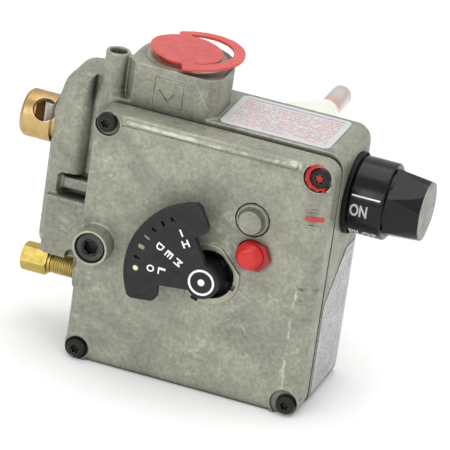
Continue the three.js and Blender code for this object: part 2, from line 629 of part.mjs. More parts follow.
// The red bushing round the button: a rounded hexagon that stands on the cover.
const resetBushing = cut(
  prism("y", outline(Array.from({ length: 6 }, (_, i) => [
    RESET.x + RESET.hex * Math.cos((i * Math.PI) / 3),
    RESET.z + RESET.hex * Math.sin((i * Math.PI) / 3),
    1.4,
  ])), -2.4, -GAP),
  bar("y", resetCentre, -5, 3, RESET.r + 0.25, { sides: 24 }),
);
part("reset_bushing", resetBushing, MATERIAL.buttonRed);
part("reset_spring", spring("y", resetCentre, 2.9, 11.1, 4.2, 0.9, 4), MATERIAL.steel);
part("reset_spring_seat", tube("y", resetCentre, 11.3, 12.3, 6.1, 2.2), MATERIAL.steel);
part("reset_stem", bar("y", resetCentre, 2.7, 27, 1.8, { sides: 12 }), MATERIAL.steel);
part("safety_valve_disc", tube("y", resetCentre, 27.1, 29.2, 6, 1), MATERIAL.rubber);
const { magnetFront } = RESET;
const magnetFace = [[0, magnetFront + 1], [3, magnetFront + 1], [3, magnetFront], [7, magnetFront]];
const magnet = [...magnetFace, [7.4, magnetFront + 0.6], [7.4, 50.3], [0, 50.3]];
part("safety_magnet", turned("y", resetCentre, magnet), MATERIAL.steel);

// ---------------------------------------------------------------- gas cock and knob

function gasKnob() {
  const { y, z, r, base, shoulder, end, tip } = KNOB;
  const skirt = [[0, base], [r - 0.5, base], [r, base + 0.6], [r, shoulder - 1], [r - 1, shoulder]];
  const groove = [[14.2, shoulder], [14.2, shoulder + 1.4], [0, shoulder + 1.4]];
  const barrel = turned("x", [y, z], [...skirt, ...groove], 36);
  const cone = bar("x", [y, z], shoulder + 0.8, end, 16, { rEnd: tip + 0.4, sides: 36 });
  const facets = bar("x", [y, z], shoulder, end, 19.4, { rEnd: 13.9, sides: 6, turn: 12 });
  const hollow = cut(
    bar("x", [y, z], base - 1, shoulder - 2, 14.4, { sides: 28 }),
    bar("x", [y, z], base + 2.5, shoulder, 7.6, { sides: 24 }),
  );
  const bore = bar("x", [y, z], base - 1, COCK.shaftEnd + 4, COCK.shaft + 0.25, { sides: 16 });
  const seat = bar("x", [y, z], end - 0.5, end + 1, tip - 0.7, { sides: 32 });
  return cut(join(barrel, cone.intersect(facets)), hollow, bore, seat);
}
part("gas_knob", gasKnob(), MATERIAL.blackPlastic);
const endDisc = bar("x", knobCentre, KNOB.end - 0.4, KNOB.end + 0.1, KNOB.tip - 0.9, { sides: 32 });
part("knob_end_disc", endDisc, MATERIAL.steel);
// The bezel is a shallow cup on the casting's side that the knob's skirt sinks into when it is pushed.
const cupFloor = CASTING.right + 0.5;
const cupRim = CASTING.right + 2;
const bezel = cut(
  tube("x", knobCentre, CASTING.right + GAP, cupRim, KNOB.bezel, 8, 32),
  bar("x", knobCentre, cupFloor, cupRim + 1, KNOB.bezel - 0.65, { sides: 32 }),
);
part("knob_bezel", bezel, MATERIAL.blackPlastic);
part("knob_spring", spring("x", knobCentre, cupFloor + 0.3, KNOB.base + 2.3, 5.8, 0.9, 2.5), MATERIAL.steel);

part("cock_packing_bush", tube("x", knobCentre, 47.8, CASTING.right + 0.4, 6.8, 4.3), MATERIAL.brass);
const shaft = bar("x", knobCentre, COCK.plugEnd + GAP, COCK.shaftEnd, COCK.shaft, { sides: 16 });
part("cock_shaft", shaft, MATERIAL.steel);

const plug = cut(
  bar("x", knobCentre, COCK.plugStart, COCK.plugEnd, COCK.small, { rEnd: COCK.big }),
  bar("y", [36, KNOB.z], 20, 60, 3.6, { sides: 16 }),
);
part("cock_plug", plug, MATERIAL.brass);
const sleeve = cut(
  bar("x", knobCentre, COCK.plugStart - 1, 47.6, COCK.sleeve),
  bar("x", knobCentre, COCK.plugStart - 2, COCK.plugEnd, COCK.small + 0.1, { rEnd: COCK.big + 0.2 }),
  bar("x", knobCentre, COCK.plugEnd - 0.1, 49, COCK.big + 0.2),
  bar("y", [36, KNOB.z], 20, 60, 3.6, { sides: 16 }),
);
part("cock_sleeve", sleeve, MATERIAL.brass);

// ---------------------------------------------------------------- tank shank and probe

// The tank nipple: a neck pressed in the casting, a hex and a tapered thread, shown as shallow rings.
function tankShank() {
  const { r, bore, neck, start, end } = SHANK;
  const ring = 3.6;
  const profile = [[bore, 50.6], [neck, 50.6], [neck, start], [r, start]];
  for (let y = start + 9; y + ring < end; y += ring) profile.push([r - 0.9, y], [r - 0.1, y + ring / 2]);
  profile.push([r - 1.2, end], [bore, end], [bore, 50.6]);
  const hex = bar("y", shankCentre, start, start + 7, 18.4, { sides: 6 });
  const collar = cut(hex, bar("y", shankCentre, start - 1, start + 9, r - 1));
  return join(turned("y", shankCentre, profile, 32), collar);
}
part("tank_shank", tankShank(), MATERIAL.brass);

// The thread protector: a cup over the thread that runs down to the probe in a cone.
const { r: capR, start: capStart, cone, end: capEnd, wall: capWall } = PROTECTOR;
const threadClear = SHANK.r + 0.3;
const probeClear = PROBE.r + 0.4;
const protector = turned("y", shankCentre, [
  [probeClear, capEnd],
  [probeClear, capEnd - 3.5],
  [threadClear, SHANK.end + 0.5],
  [threadClear, capStart],
  [capR - 1, capStart],
  [capR, capStart + 1],
  [capR, cone - 1.5],
  [capR - 0.4, cone],
  [probeClear + capWall / 2, capEnd],
  [probeClear, capEnd],
], 36);
part("shank_protector", protector, MATERIAL.whitePlastic);

const probeTube = turned("y", shankCentre, [
  [PROBE.bore, PROBE.start],
  [SHANK.bore - 0.2, PROBE.start],
  [SHANK.bore - 0.2, PROBE.start + 6],
  [PROBE.r, PROBE.start + 6],
  [PROBE.r, PROBE.end - 2],
  [PROBE.r - 0.7, PROBE.end - 0.5],
  [PROBE.r - 2, PROBE.end],
  [0, PROBE.end],
  [0, PROBE.end - 2.5],
  [PROBE.bore, PROBE.end - 2.5],
  [PROBE.bore, PROBE.start],
], 24);
part("probe_tube", probeTube, MATERIAL.copper);
part("probe_rod", bar("y", shankCentre, 38.1, PROBE.end - 3, PROBE.rod, { sides: 12 }), MATERIAL.steel);

// ---------------------------------------------------------------- thermostat lever and main valve

// The lever hangs from its pin: the probe's rod bears on its side pad just under the pin, and its long lower
// end draws the main valve off its seat.
function lever() {
  const { left, right, pad, front, thick, top, bottom } = LEVER;
  const lower = [[left, bottom, 2], [right, bottom, 2], [right, 26], [pad, 26, 1]];
  const upper = [[pad, 38, 1], [right, 38], [right, top, 1], [left, top, 1]];
  const shape = outline([...lower, ...upper]);
  const knuckle = bar("x", [FULCRUM.y, FULCRUM.z], left, right, 2.6, { sides: 16 });
  const hole = bar("x", [FULCRUM.y, FULCRUM.z], left - 1, right + 1, FULCRUM.pin + 0.2, { sides: 12 });
  return cut(join(prism("y", shape, front, front + thick), knuckle), hole);
}
part("thermostat_lever", lever(), MATERIAL.steel);
const leverPin = bar("x", [FULCRUM.y, FULCRUM.z], -0.9, 14.6, FULCRUM.pin, { sides: 12 });
part("lever_pin", leverPin, MATERIAL.steel);

const valveCentre = [VALVE.x, VALVE.z];
const mainValve = turned("y", valveCentre, [
  [0, 38.1],
  [1.6, 38.1],
  [1.6, 43.6],
  [VALVE.r, 43.6],
  [VALVE.r, VALVE.seatFront - 0.3],
  [0, VALVE.seatFront - 0.3],
], 24);
part("main_valve_disc", mainValve, MATERIAL.rubber);
part("main_valve_seat", tube("y", valveCentre, VALVE.seatFront, 50.4, 10.6, 6), MATERIAL.brass);

// ---------------------------------------------------------------- frame

// The base of the whole valve: its left and right, front and back ends, and the cover's lower edge.
const ends = {
  left: OUTLET.end,
  right: KNOB.end + 0.1,
  front: DIAL.face - 0.35,
  back: PROBE.end,
  bottom: COVER.bottom,
};
valve.position.set(-(ends.left + ends.right) / 2, -(ends.front + ends.back) / 2, -ends.bottom);

const gasValve = new THREE.Group();
gasValve.add(valve);
export default gasValve;
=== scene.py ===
"""The looks of a water heater's gas control valve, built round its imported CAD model.

Shapes are drawn in millimetres about the valve's own datum: X to the right of the cover's middle, Y back
from the cover's front face, Z up from the middle of the cover's screws. place() puts a finished shape in
the frame, in metres, and says which body it rides on and which CAD nodes it stands for.
"""
import math

import bmesh
import bpy
from mathutils import Matrix, Vector


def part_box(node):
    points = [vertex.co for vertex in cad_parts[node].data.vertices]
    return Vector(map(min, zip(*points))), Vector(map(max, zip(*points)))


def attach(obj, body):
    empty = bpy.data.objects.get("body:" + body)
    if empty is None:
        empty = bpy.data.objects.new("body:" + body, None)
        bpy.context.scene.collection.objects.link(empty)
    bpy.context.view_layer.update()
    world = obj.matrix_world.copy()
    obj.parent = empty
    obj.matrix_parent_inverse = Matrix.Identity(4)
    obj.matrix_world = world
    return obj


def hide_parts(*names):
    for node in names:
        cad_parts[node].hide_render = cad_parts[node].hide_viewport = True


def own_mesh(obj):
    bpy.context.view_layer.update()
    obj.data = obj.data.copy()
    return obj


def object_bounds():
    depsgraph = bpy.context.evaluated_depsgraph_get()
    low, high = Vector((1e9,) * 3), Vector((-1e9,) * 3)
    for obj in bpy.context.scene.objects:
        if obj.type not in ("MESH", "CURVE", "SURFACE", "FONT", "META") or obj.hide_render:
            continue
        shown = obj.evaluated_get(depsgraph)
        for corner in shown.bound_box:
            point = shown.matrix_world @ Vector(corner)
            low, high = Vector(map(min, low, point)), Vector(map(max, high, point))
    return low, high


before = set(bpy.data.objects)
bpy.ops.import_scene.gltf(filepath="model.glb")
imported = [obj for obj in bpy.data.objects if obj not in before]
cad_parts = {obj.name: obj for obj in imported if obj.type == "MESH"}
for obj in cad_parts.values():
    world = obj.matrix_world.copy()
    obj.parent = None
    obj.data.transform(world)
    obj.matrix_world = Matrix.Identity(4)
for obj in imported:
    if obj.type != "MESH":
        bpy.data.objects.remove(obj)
cad_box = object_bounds()
scene = bpy.context.scene

# ---------------------------------------------------------------- sizes, from the frame

MM = 0.001
GAP = 0.1  # between pieces that rest on each other
GASKET_CORNER = Vector((-52.5, 15.1, -57.2))  # the gasket's low corner about the datum
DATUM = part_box("body_gasket")[0] - MM * GASKET_CORNER


def span(node):
    """A CAD node's low and high corners about the datum, in millimetres."""
    return [(corner - DATUM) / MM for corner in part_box(node)]


def middle(node):
    low, high = span(node)
    return (low + high) / 2


gasket_low, gasket_high = span("body_gasket")
LEFT, RIGHT = gasket_low.x - 0.5, gasket_high.x + 0.5
BOTTOM, TOP = gasket_low.z - 0.5, gasket_high.z + 0.5
COVER_BACK, CASTING_FRONT = gasket_low.y - GAP, gasket_high.y + GAP
CASTING_TOP = span("top_label")[0].z - 0.05
CASTING_BACK = 56.5
WALL = 4

screws = {
    place: middle(f"cover_screw_{place}")
    for place in ("top_left", "top_right", "bottom_left", "bottom_right")
}
SCREW_HEAD, SCREW_SEAT, SCREW_FACE = 4.35, 0.9, -2.1
BOLT = middle("mounting_bolt")
BOLT_HEAD, BOLT_FACE, COLLAR, COLLAR_FOOT = 6.3, -6.7, 7.9, 8.8
DIAL = middle("dial_adjusting_screw")
DIAL_FACE = span("dial_plate")[0].y
DIAL_THICK, DIAL_RIM, DIAL_SCALE, DIAL_LEAN = 3, 34.7, 29.5, 152.8
RIM, RIM_BORE, RIM_FLAT, RIM_LEAN = 13.5, 10.8, 11.7, 43
CAP = middle("regulator_cap")
CAP_R, CAP_NECK = 7.2, 4.8
RESET = middle("reset_stem")
RESET_R, RESET_HEX, RESET_FACE = 6.1, 6.9, span("reset_button")[0].y
KNOB = middle("cock_shaft")
KNOB_R, KNOB_BEZEL, KNOB_TIP = 16.7, 17.8, 12.7
KNOB_BASE, KNOB_END = span("gas_knob")[0].x, span("gas_knob")[1].x
KNOB_SHOULDER = KNOB_END - 15.2
KNOB_WORDS = (("on", "ON", 7.6, 60, -2), ("pilot", "PILOT", 12.4, 62, -51), ("off", "OFF", 10.5, 62.5, -112))
INLET = middle("inlet_screen")
INLET_HALF, INLET_BORE, INLET_LAND = 20.5, 12.3, 16.4
INLET_TOP = span("main_casting")[1].z - 0.4
PLUG_TURN = 21
TAB_LIFT, DISC_TILT = 0.05, 0.04  # how the plug's pull ring rises and its disc falls to the right
POST = middle("pilot_adjusting_screw")
POST_R, POST_BORE, POST_TOP = 5.3, 3.7, 76
OUTLET = middle("outlet_barrel")
OUTLET_R, OUTLET_BORE = 10.5, 8
OUTLET_END, OUTLET_SEAT, OUTLET_WINDOW = span("outlet_barrel")[0].x, -79.3, -83
PILOT = middle("pilot_nut")
PILOT_END, PILOT_SEAT, PILOT_PORT, PILOT_ACROSS = span("pilot_nut")[0].x, -74.3, -58.5, 6.4
SHANK = middle("probe_rod")
SHANK_R, SHANK_BORE, SHANK_NECK, SHANK_BOSS, SHANK_START, SHANK_END = 13.35, 7.5, 11, 19, 61.2, 87
PROBE_R, PROBE_START, PROBE_END = 4.75, 76, span("probe_tube")[1].y
CUP_R, CUP_START, CUP_CONE, CUP_END = 17.8, 72, 80.5, 118
WING_LEFT, WING_RIGHT, WING_FRONT, WING_BACK, WING_TOP, WING_BOTTOM = -79, -50, 19.5, 42, 62.5, -21.5
CHANNEL_LEFT, CHANNEL_FLOOR, POCKET_LEFT, BLOCK_LEFT, BLOCK_TOP = -62, 24.5, -72.5, -75.8, 5.3
# Radii of the metal left standing round a hole, then of the holes themselves.
SCREW_BOSS, BOLT_BOSS, BOLT_SLEEVE, RESET_BOSS, CAP_BOSS, PILOT_BOSS = 6.2, 8.4, 7.6, 8.2, 9.6, 8.5
SCREW_HOLE, SCREW_TAP, BOLT_HOLE, BOLT_BORE, PIN_HOLE, CAP_CHAMBER = 2.6, 2.45, 4.3, 4.2, 1.35, 7.8
INLET_THROAT, OUTLET_SOCKET, OUTLET_PASSAGE, PILOT_BORE, COCK_BORE = 10.8, 9.3, 5.8, 4.95, 7
COLLAR_FACE = -7.5
BOLT_SHANK, BOLT_SOCKET, PILOT_THREAD, PILOT_TUBE = 4, 3.46, 4.75, 2.4
PLUG_R, RING_R, RING_BORE = 15.6, 21.2, 16.9  # the plug's disc, and its pull ring outside and inside
HUB_R, HUB_BORE, BADGE_R, BADGE_BORE, DOT_R = 7.4, 3.1, 5.8, 4.85, 1.5

# ---------------------------------------------------------------- solids


def at(axis, u, v, t):
    """A point t along the axis, with the other two coordinates in the order X, Y, Z."""
    return {"x": (t, u, v), "y": (u, t, v), "z": (u, v, t)}[axis]


def centre_of(axis, point):
    return {"x": (point.y, point.z), "y": (point.x, point.z), "z": (point.x, point.y)}[axis]


def solid(points, faces):
    mesh = bpy.data.meshes.new("solid")
    mesh.from_pydata(points, [], faces)
    bm = bmesh.new()
    bm.from_mesh(mesh)
    bmesh.ops.recalc_face_normals(bm, faces=bm.faces)
    bm.to_mesh(mesh)
    bm.free()
    made = bpy.data.objects.new("solid", mesh)
    scene.collection.objects.link(made)
    return made


def loft(axis, rings, closed=False):
    """A solid through rings of equally many (u, v, t) points, capped unless it closes on itself."""
    count = len(rings[0])
    points = [at(axis, *point) for ring in rings for point in ring]
    faces = []
    for i in range(len(rings) if closed else len(rings) - 1):
        a, b = i * count, (i + 1) % len(rings) * count
        faces += [(a + j, a + (j + 1) % count, b + (j + 1) % count, b + j) for j in range(count)]
    if not closed:
        faces += [tuple(range(count)), tuple(range(len(points) - count, len(points)))]
    return solid(points, faces)


def circle(centre, r, t, sides, turn=0):
    """A ring of points; r is a radius, or a function of the angle."""
    ring = []
    for i in range(sides):
        angle = 2 * math.pi * i / sides + math.radians(turn)
        reach = r(angle) if callable(r) else r
        ring.append((centre[0] + reach * math.cos(angle), centre[1] + reach * math.sin(angle), t))
    return ring


def bar(axis, centre, start, end, r, r_end=None, sides=64, turn=0):
    r_end = r if r_end is None else r_end
    return loft(axis, [circle(centre, r, start, sides, turn), circle(centre, r_end, end, sides, turn)])


def turned(axis, centre, corners, sides=96, closed=False):
    """A turned piece from corners (radius, place along the axis, rounding)."""
    profile = outline(corners, 4)
    return loft(axis, [circle(centre, r, t, sides) for r, t in profile], closed)


def outline(corners, steps=6):
    """Corners (u, v) or (u, v, rounding) as a closed line whose corners are arcs."""
    line = []
    for i, corner in enumerate(corners):
        here, r = Vector(corner[:2]), corner[2] if len(corner) > 2 else 0
        if not r:
            line.append(tuple(here))
            continue
        before = (Vector(corners[i - 1][:2]) - here).normalized()
        after = (Vector(corners[(i + 1) % len(corners)][:2]) - here).normalized()
        half = before.angle(after) / 2
        middle_point = here + (before + after).normalized() * r / math.sin(half)
        start = here + before * r / math.tan(half) - middle_point
        end = here + after * r / math.tan(half) - middle_point
        for k in range(steps + 1):
            line.append(tuple(middle_point + start.lerp(end, k / steps).normalized() * r))
    return line


def prism(axis, line, start, end):
    return loft(axis, [[(u, v, t) for u, v in line] for t in (start, end)])


def block(x0, x1, y0, y1, z0, z1):
    return prism("z", [(x0, y0), (x1, y0), (x1, y1), (x0, y1)], z0, z1)


def rectangle(u0, u1, v0, v1, r=0):
    return outline([(u0, v0, r), (u1, v0, r), (u1, v1, r), (u0, v1, r)])


def threaded(axis, centre, start, end, r, depth, pitch, r_end=None, sides=48):
    """A screw thread of the outer radius, from radius r to r_end along a taper."""
    r_end = r if r_end is None else r_end
    steps = math.ceil((end - start) / pitch * 6)
    rings = []
    for i in range(steps + 1):
        t = start + (end - start) * i / steps
        outer = r + (r_end - r) * i / steps

        def reach(angle, t=t, outer=outer):
            phase = (t / pitch + angle / (2 * math.pi)) % 1
            return outer - depth * min(1, abs(2 * phase - 1) * 1.25)

        rings.append(circle(centre, reach, t, sides))
    return loft(axis, rings)


def bake(obj):
    evaluated = obj.evaluated_get(bpy.context.evaluated_depsgraph_get())
    mesh = bpy.data.meshes.new_from_object(evaluated)
    obj.modifiers.clear()
    obj.data = mesh
    return obj


def combine(base, operation, tools):
    for tool in tools:
        step = base.modifiers.new("step", "BOOLEAN")
        step.operation, step.object, step.solver = operation, tool, "MANIFOLD"
    bake(base)
    for tool in tools:
        bpy.data.objects.remove(tool)
    return base


def cut(base, *tools):
    return combine(base, "DIFFERENCE", tools)


def join(base, *tools):
    return combine(base, "UNION", tools)


def meet(base, *tools):
    return combine(base, "INTERSECT", tools)


def tube(axis, centre, start, end, r, bore, sides=64):
    hole = bar(axis, centre, start - 1, end + 1, bore, sides=sides)
    return cut(bar(axis, centre, start, end, r, sides=sides), hole)


def soften(obj, voxel, rounds, keep):
    """Melts a solid's edges and corners together, as die casting and moulding do."""
    remesh = obj.modifiers.new("remesh", "REMESH")
    remesh.mode, remesh.voxel_size, remesh.use_smooth_shade = "VOXEL", voxel, True
    smooth = obj.modifiers.new("smooth", "SMOOTH")
    smooth.factor, smooth.iterations = 0.5, rounds
    thin = obj.modifiers.new("thin", "DECIMATE")
    thin.ratio = keep
    return bake(obj)


def bevel(obj, width, segments=2, angle=30):
    edges = obj.modifiers.new("edges", "BEVEL")
    edges.width, edges.segments, edges.limit_method = width, segments, "ANGLE"
    edges.angle_limit = math.radians(angle)
    edges.use_clamp_overlap = True
    return bake(obj)


# ---------------------------------------------------------------- materials


def rgb(red, green, blue):
    """An sRGB colour, 0 to 255, as a linear one."""
    linear = [c / 255 / 12.92 if c <= 10 else ((c / 255 + 0.055) / 1.055) ** 2.4 for c in (red, green, blue)]
    return (*linear, 1)


def shade(tone, factor, offset=0.0):
    """A lighter or darker version of a linear colour."""
    return (*(min(1, c * factor + offset) for c in tone[:3]), 1)


class Nodes:
    """A material's node tree, built with short calls. Places are object coordinates, in metres."""

    def __init__(self, name, **settings):
        self.material = bpy.data.materials.new(name)
        self.material.use_nodes = True
        self.tree = self.material.node_tree
        self.shader = self.tree.nodes["Principled BSDF"]
        self.place = self.node("ShaderNodeTexCoord").outputs["Object"]
        for socket, value in settings.items():
            self.set(socket.replace("_", " "), value)

    def feed(self, socket, value):
        if isinstance(value, bpy.types.NodeSocket):
            self.tree.links.new(value, socket)
        else:
            socket.default_value = value

    def set(self, socket, value):
        self.feed(self.shader.inputs[socket], value)

    def node(self, kind, inputs=None, **settings):
        made = self.tree.nodes.new(kind)
        for name, value in settings.items():
            setattr(made, name, value)
        for name, value in (inputs or {}).items():
            self.feed(made.inputs[name], value)
        return made

    def stretched(self, scale, turn=(0, 0, 0)):
        """Object coordinates, turned and then scaled, for streaks that lie along a slant."""
        inputs = {"Vector": self.place, "Scale": [1 / part for part in scale]}
        inputs["Rotation"] = [math.radians(angle) for angle in turn]
        return self.node("ShaderNodeMapping", inputs, vector_type="TEXTURE").outputs[0]

    def noise(self, scale, detail=4, roughness=0.55, vector=None, distortion=0):
        inputs = {"Scale": scale, "Detail": detail, "Roughness": roughness, "Distortion": distortion}
        return self.node("ShaderNodeTexNoise", {"Vector": vector or self.place, **inputs}).outputs["Fac"]

    def ramp(self, value, low, high, out_low=0.0, out_high=1.0):
        inputs = {"Value": value, "From Min": low, "From Max": high, "To Min": out_low, "To Max": out_high}
        return self.node("ShaderNodeMapRange", inputs, interpolation_type="SMOOTHSTEP").outputs["Result"]

    def maths(self, operation, a, b=0.0, c=0.0):
        return self.node("ShaderNodeMath", {0: a, 1: b, 2: c}, operation=operation).outputs[0]

    def between(self, value, low, high, soft):
        """1 between two ends, fading to 0 at each."""
        above = self.ramp(value, low, low + soft)
        return self.maths("MULTIPLY", above, self.ramp(value, high - soft, high, 1.0, 0.0))

    def axis(self, name):
        return self.node("ShaderNodeSeparateXYZ", {0: self.place}).outputs[name]

    def grey(self, value):
        return self.node("ShaderNodeCombineColor", {0: value, 1: value, 2: value}).outputs[0]

    def wander(self, reach):
        """A slow wobble to either side, for lines that aren't quite straight."""
        return self.ramp(self.noise(60, 2), 0.2, 0.8, -reach, reach)

    def mix(self, factor, a, b, blend="MIX"):
        made = self.node("ShaderNodeMix", data_type="RGBA", blend_type=blend)
        self.feed(made.inputs[0], factor)
        self.feed(made.inputs[6], a)
        self.feed(made.inputs[7], b)
        return made.outputs[2]

    def bump(self, height, distance, strength=1.0, normal=None):
        inputs = {"Height": height, "Distance": distance, "Strength": strength}
        if normal:
            inputs["Normal"] = normal
        return self.node("ShaderNodeBump", inputs).outputs[0]

    def edges(self, radius, low=0.9, high=0.995):
        """Near 1 on corners sharper than the radius, in metres, and 0 on flat faces."""
        soft = self.node("ShaderNodeBevel", {"Radius": radius}, samples=6).outputs[0]
        flat = self.node("ShaderNodeNewGeometry").outputs["Normal"]
        same = self.node("ShaderNodeVectorMath", {0: soft, 1: flat}, operation="DOT_PRODUCT").outputs["Value"]
        return self.ramp(same, low, high, 1.0, 0.0)

    def rings(self, centre, pitch, axis):
        """Fine turning marks round an axis through the centre, in metres."""
        moved = self.node("ShaderNodeVectorMath", {0: self.place, 1: centre}, operation="SUBTRACT").outputs[0]
        flatten = {"x": (0, 1, 1), "y": (1, 0, 1), "z": (1, 1, 0)}[axis]
        flat = self.node("ShaderNodeVectorMath", {0: moved, 1: flatten}, operation="MULTIPLY").outputs[0]
        r = self.node("ShaderNodeVectorMath", {0: flat}, operation="LENGTH").outputs["Value"]
        return self.maths("SINE", self.maths("MULTIPLY", r, 2 * math.pi / pitch))

    def bands(self, pitch, axis):
        """Fine turning marks across an axis."""
        return self.maths("SINE", self.maths("MULTIPLY", self.axis(axis), 2 * math.pi / pitch))


def cast_metal(name, light, dark, rough, ridges=()):
    """Die-cast alloy: clouds, flaky worn spots, a sandy skin, scratches, bright edges and painted shade in
    its corners.

    ridges are crests painted bright, a painted highlight along with rubbed wear: (axis, place on it, axis
    they run along, low end, high end, width).
    """
    m = Nodes(name, Metallic=0.35)
    clouds = m.noise(38, 6, 0.62, distortion=0.8)
    tone = m.mix(m.ramp(clouds, 0.34, 0.66), dark, light)
    flakes = m.ramp(m.noise(110, 8, 0.74, distortion=0.5), 0.54, 0.62)
    flakes = m.maths("MULTIPLY", flakes, m.ramp(m.noise(24, 2), 0.42, 0.6))
    tone = m.mix(m.maths("MULTIPLY", flakes, 0.5), tone, rgb(186, 188, 172))
    stains = m.ramp(m.noise(75, 5, 0.6, distortion=1.2), 0.56, 0.7, 0.0, 0.42)
    tone = m.mix(stains, tone, rgb(108, 109, 96))
    speckle = m.grey(m.ramp(m.noise(620, 4, 0.7), 0.28, 0.72, 0.8, 1.16))
    tone = m.mix(1.0, tone, speckle, "MULTIPLY")
    fine = m.ramp(m.noise(30, 3, 0.5, m.stretched((3, 3, 60), (0, 38, 0))), 0.68, 0.74, 0.0, 0.5)
    cross = m.ramp(m.noise(24, 3, 0.5, m.stretched((60, 3, 3), (0, -28, 12))), 0.7, 0.76, 0.0, 0.4)
    long = m.ramp(m.noise(7, 2, 0.5, m.stretched((60, 4, 1.6), (0, -32, 0)), 0.25), 0.72, 0.75, 0.0, 0.5)
    scratches = m.maths("MAXIMUM", m.maths("MAXIMUM", fine, cross), long)
    bright = m.maths("MULTIPLY", m.edges(0.0007), m.ramp(m.noise(160, 4), 0.35, 0.62, 0.04, 0.5))
    bright = m.maths("MAXIMUM", bright, m.maths("MULTIPLY", scratches, 0.3))
    # Painted highlight along with rubbed wear on the given crests.
    for ridge in ridges:
        bright = m.maths("MAXIMUM", bright, lit_and_rubbed_ridge(m, *ridge))
    tone = m.mix(bright, tone, rgb(214, 214, 196))
    # Painted shade: the colour is darkened wherever ambient occlusion finds corners, creases and recesses.
    corner = m.node("ShaderNodeAmbientOcclusion", {"Distance": 0.009}, samples=8).outputs["AO"]
    m.set("Base Color", m.mix(1.0, tone, m.grey(m.ramp(corner, 0.2, 0.9, 0.22, 1.0)), "MULTIPLY"))
    m.set("Roughness", m.ramp(m.noise(260, 4), 0.3, 0.7, rough - 0.08, rough + 0.1))
    skin = m.bump(m.noise(1300, 3, 0.6), 0.00012, 0.6)
    dents = m.bump(m.noise(120, 4), 0.0007, 0.4, skin)
    m.set("Normal", m.bump(scratches, -0.00006, 0.6, dents))
    return m.material


def lit_and_rubbed_ridge(m, axis, place, run, low, high, width):
    """Broken bright patches along a crest at a place on one axis that runs along another, in metres: a
    painted highlight along with rubbed wear.
    """
    off = m.maths("ABSOLUTE", m.maths("SUBTRACT", m.maths("ADD", m.axis(axis), m.wander(width)), place))
    along = m.between(m.axis(run), low, high, 0.002)
    patches = m.ramp(m.noise(130, 5, 0.7), 0.4, 0.62)
    return m.maths("MULTIPLY", m.maths("MULTIPLY", m.ramp(off, width * 0.2, width, 0.7, 0.0), along), patches)


def turned_metal(name, base, dark, rough, marks, wear=rgb(250, 240, 215), metallic=1.0):
    """Machined metal with turning marks, light tarnish and bright edges. marks is a call on the nodes."""
    m = Nodes(name, Metallic=metallic)
    tarnish = m.ramp(m.noise(120, 5, 0.65), 0.4, 0.68, 0.0, 0.55)
    tone = m.mix(tarnish, base, dark)
    line = marks(m)
    tone = m.mix(m.ramp(line, -1, 1, 0.0, 0.16), tone, dark)
    m.set("Base Color", m.mix(m.maths("MULTIPLY", m.edges(0.0003), 0.6), tone, wear))
    m.set("Roughness", m.ramp(m.noise(300, 4), 0.3, 0.7, rough - 0.06, rough + 0.1))
    m.set("Normal", m.bump(line, 0.00002, 0.5, m.bump(m.noise(900, 2), 0.00004, 0.25)))
    return m.material


def moulded(name, base, rough, grain=900, depth=0.00004, edge=None, mottle=0.12, **settings):
    """Moulded plastic: a slight mottle, a fine skin and rubbed edges."""
    m = Nodes(name, **settings)
    light = shade(base, 1.35, 0.012)
    tone = m.mix(m.ramp(m.noise(180, 5, 0.6), 0.35, 0.7, 0.0, mottle * 3), base, light)
    dust = m.ramp(m.noise(1400, 2), 0.66, 0.78, 0.0, 0.25)
    tone = m.mix(dust, tone, light)
    m.set("Base Color", m.mix(m.maths("MULTIPLY", m.edges(0.0004), 0.5), tone, edge or light))
    m.set("Roughness", m.ramp(m.noise(350, 3), 0.3, 0.7, rough - 0.06, rough + 0.08))
    m.set("Normal", m.bump(m.noise(grain, 3), depth, 0.4))
    return m.material


def printed(name, base, rough=0.5):
    """Ink or paint, a little worn and uneven."""
    m = Nodes(name)
    worn = m.ramp(m.noise(1200, 4, 0.7), 0.62, 0.78, 0.0, 0.5)
    m.set("Base Color", m.mix(worn, base, shade(base, 0.55)))
    m.set("Roughness", m.ramp(m.noise(600, 2), 0.3, 0.7, rough - 0.08, rough + 0.1))
    m.set("Normal", m.bump(m.noise(2500, 2), 0.00003, 0.4))
    return m.material


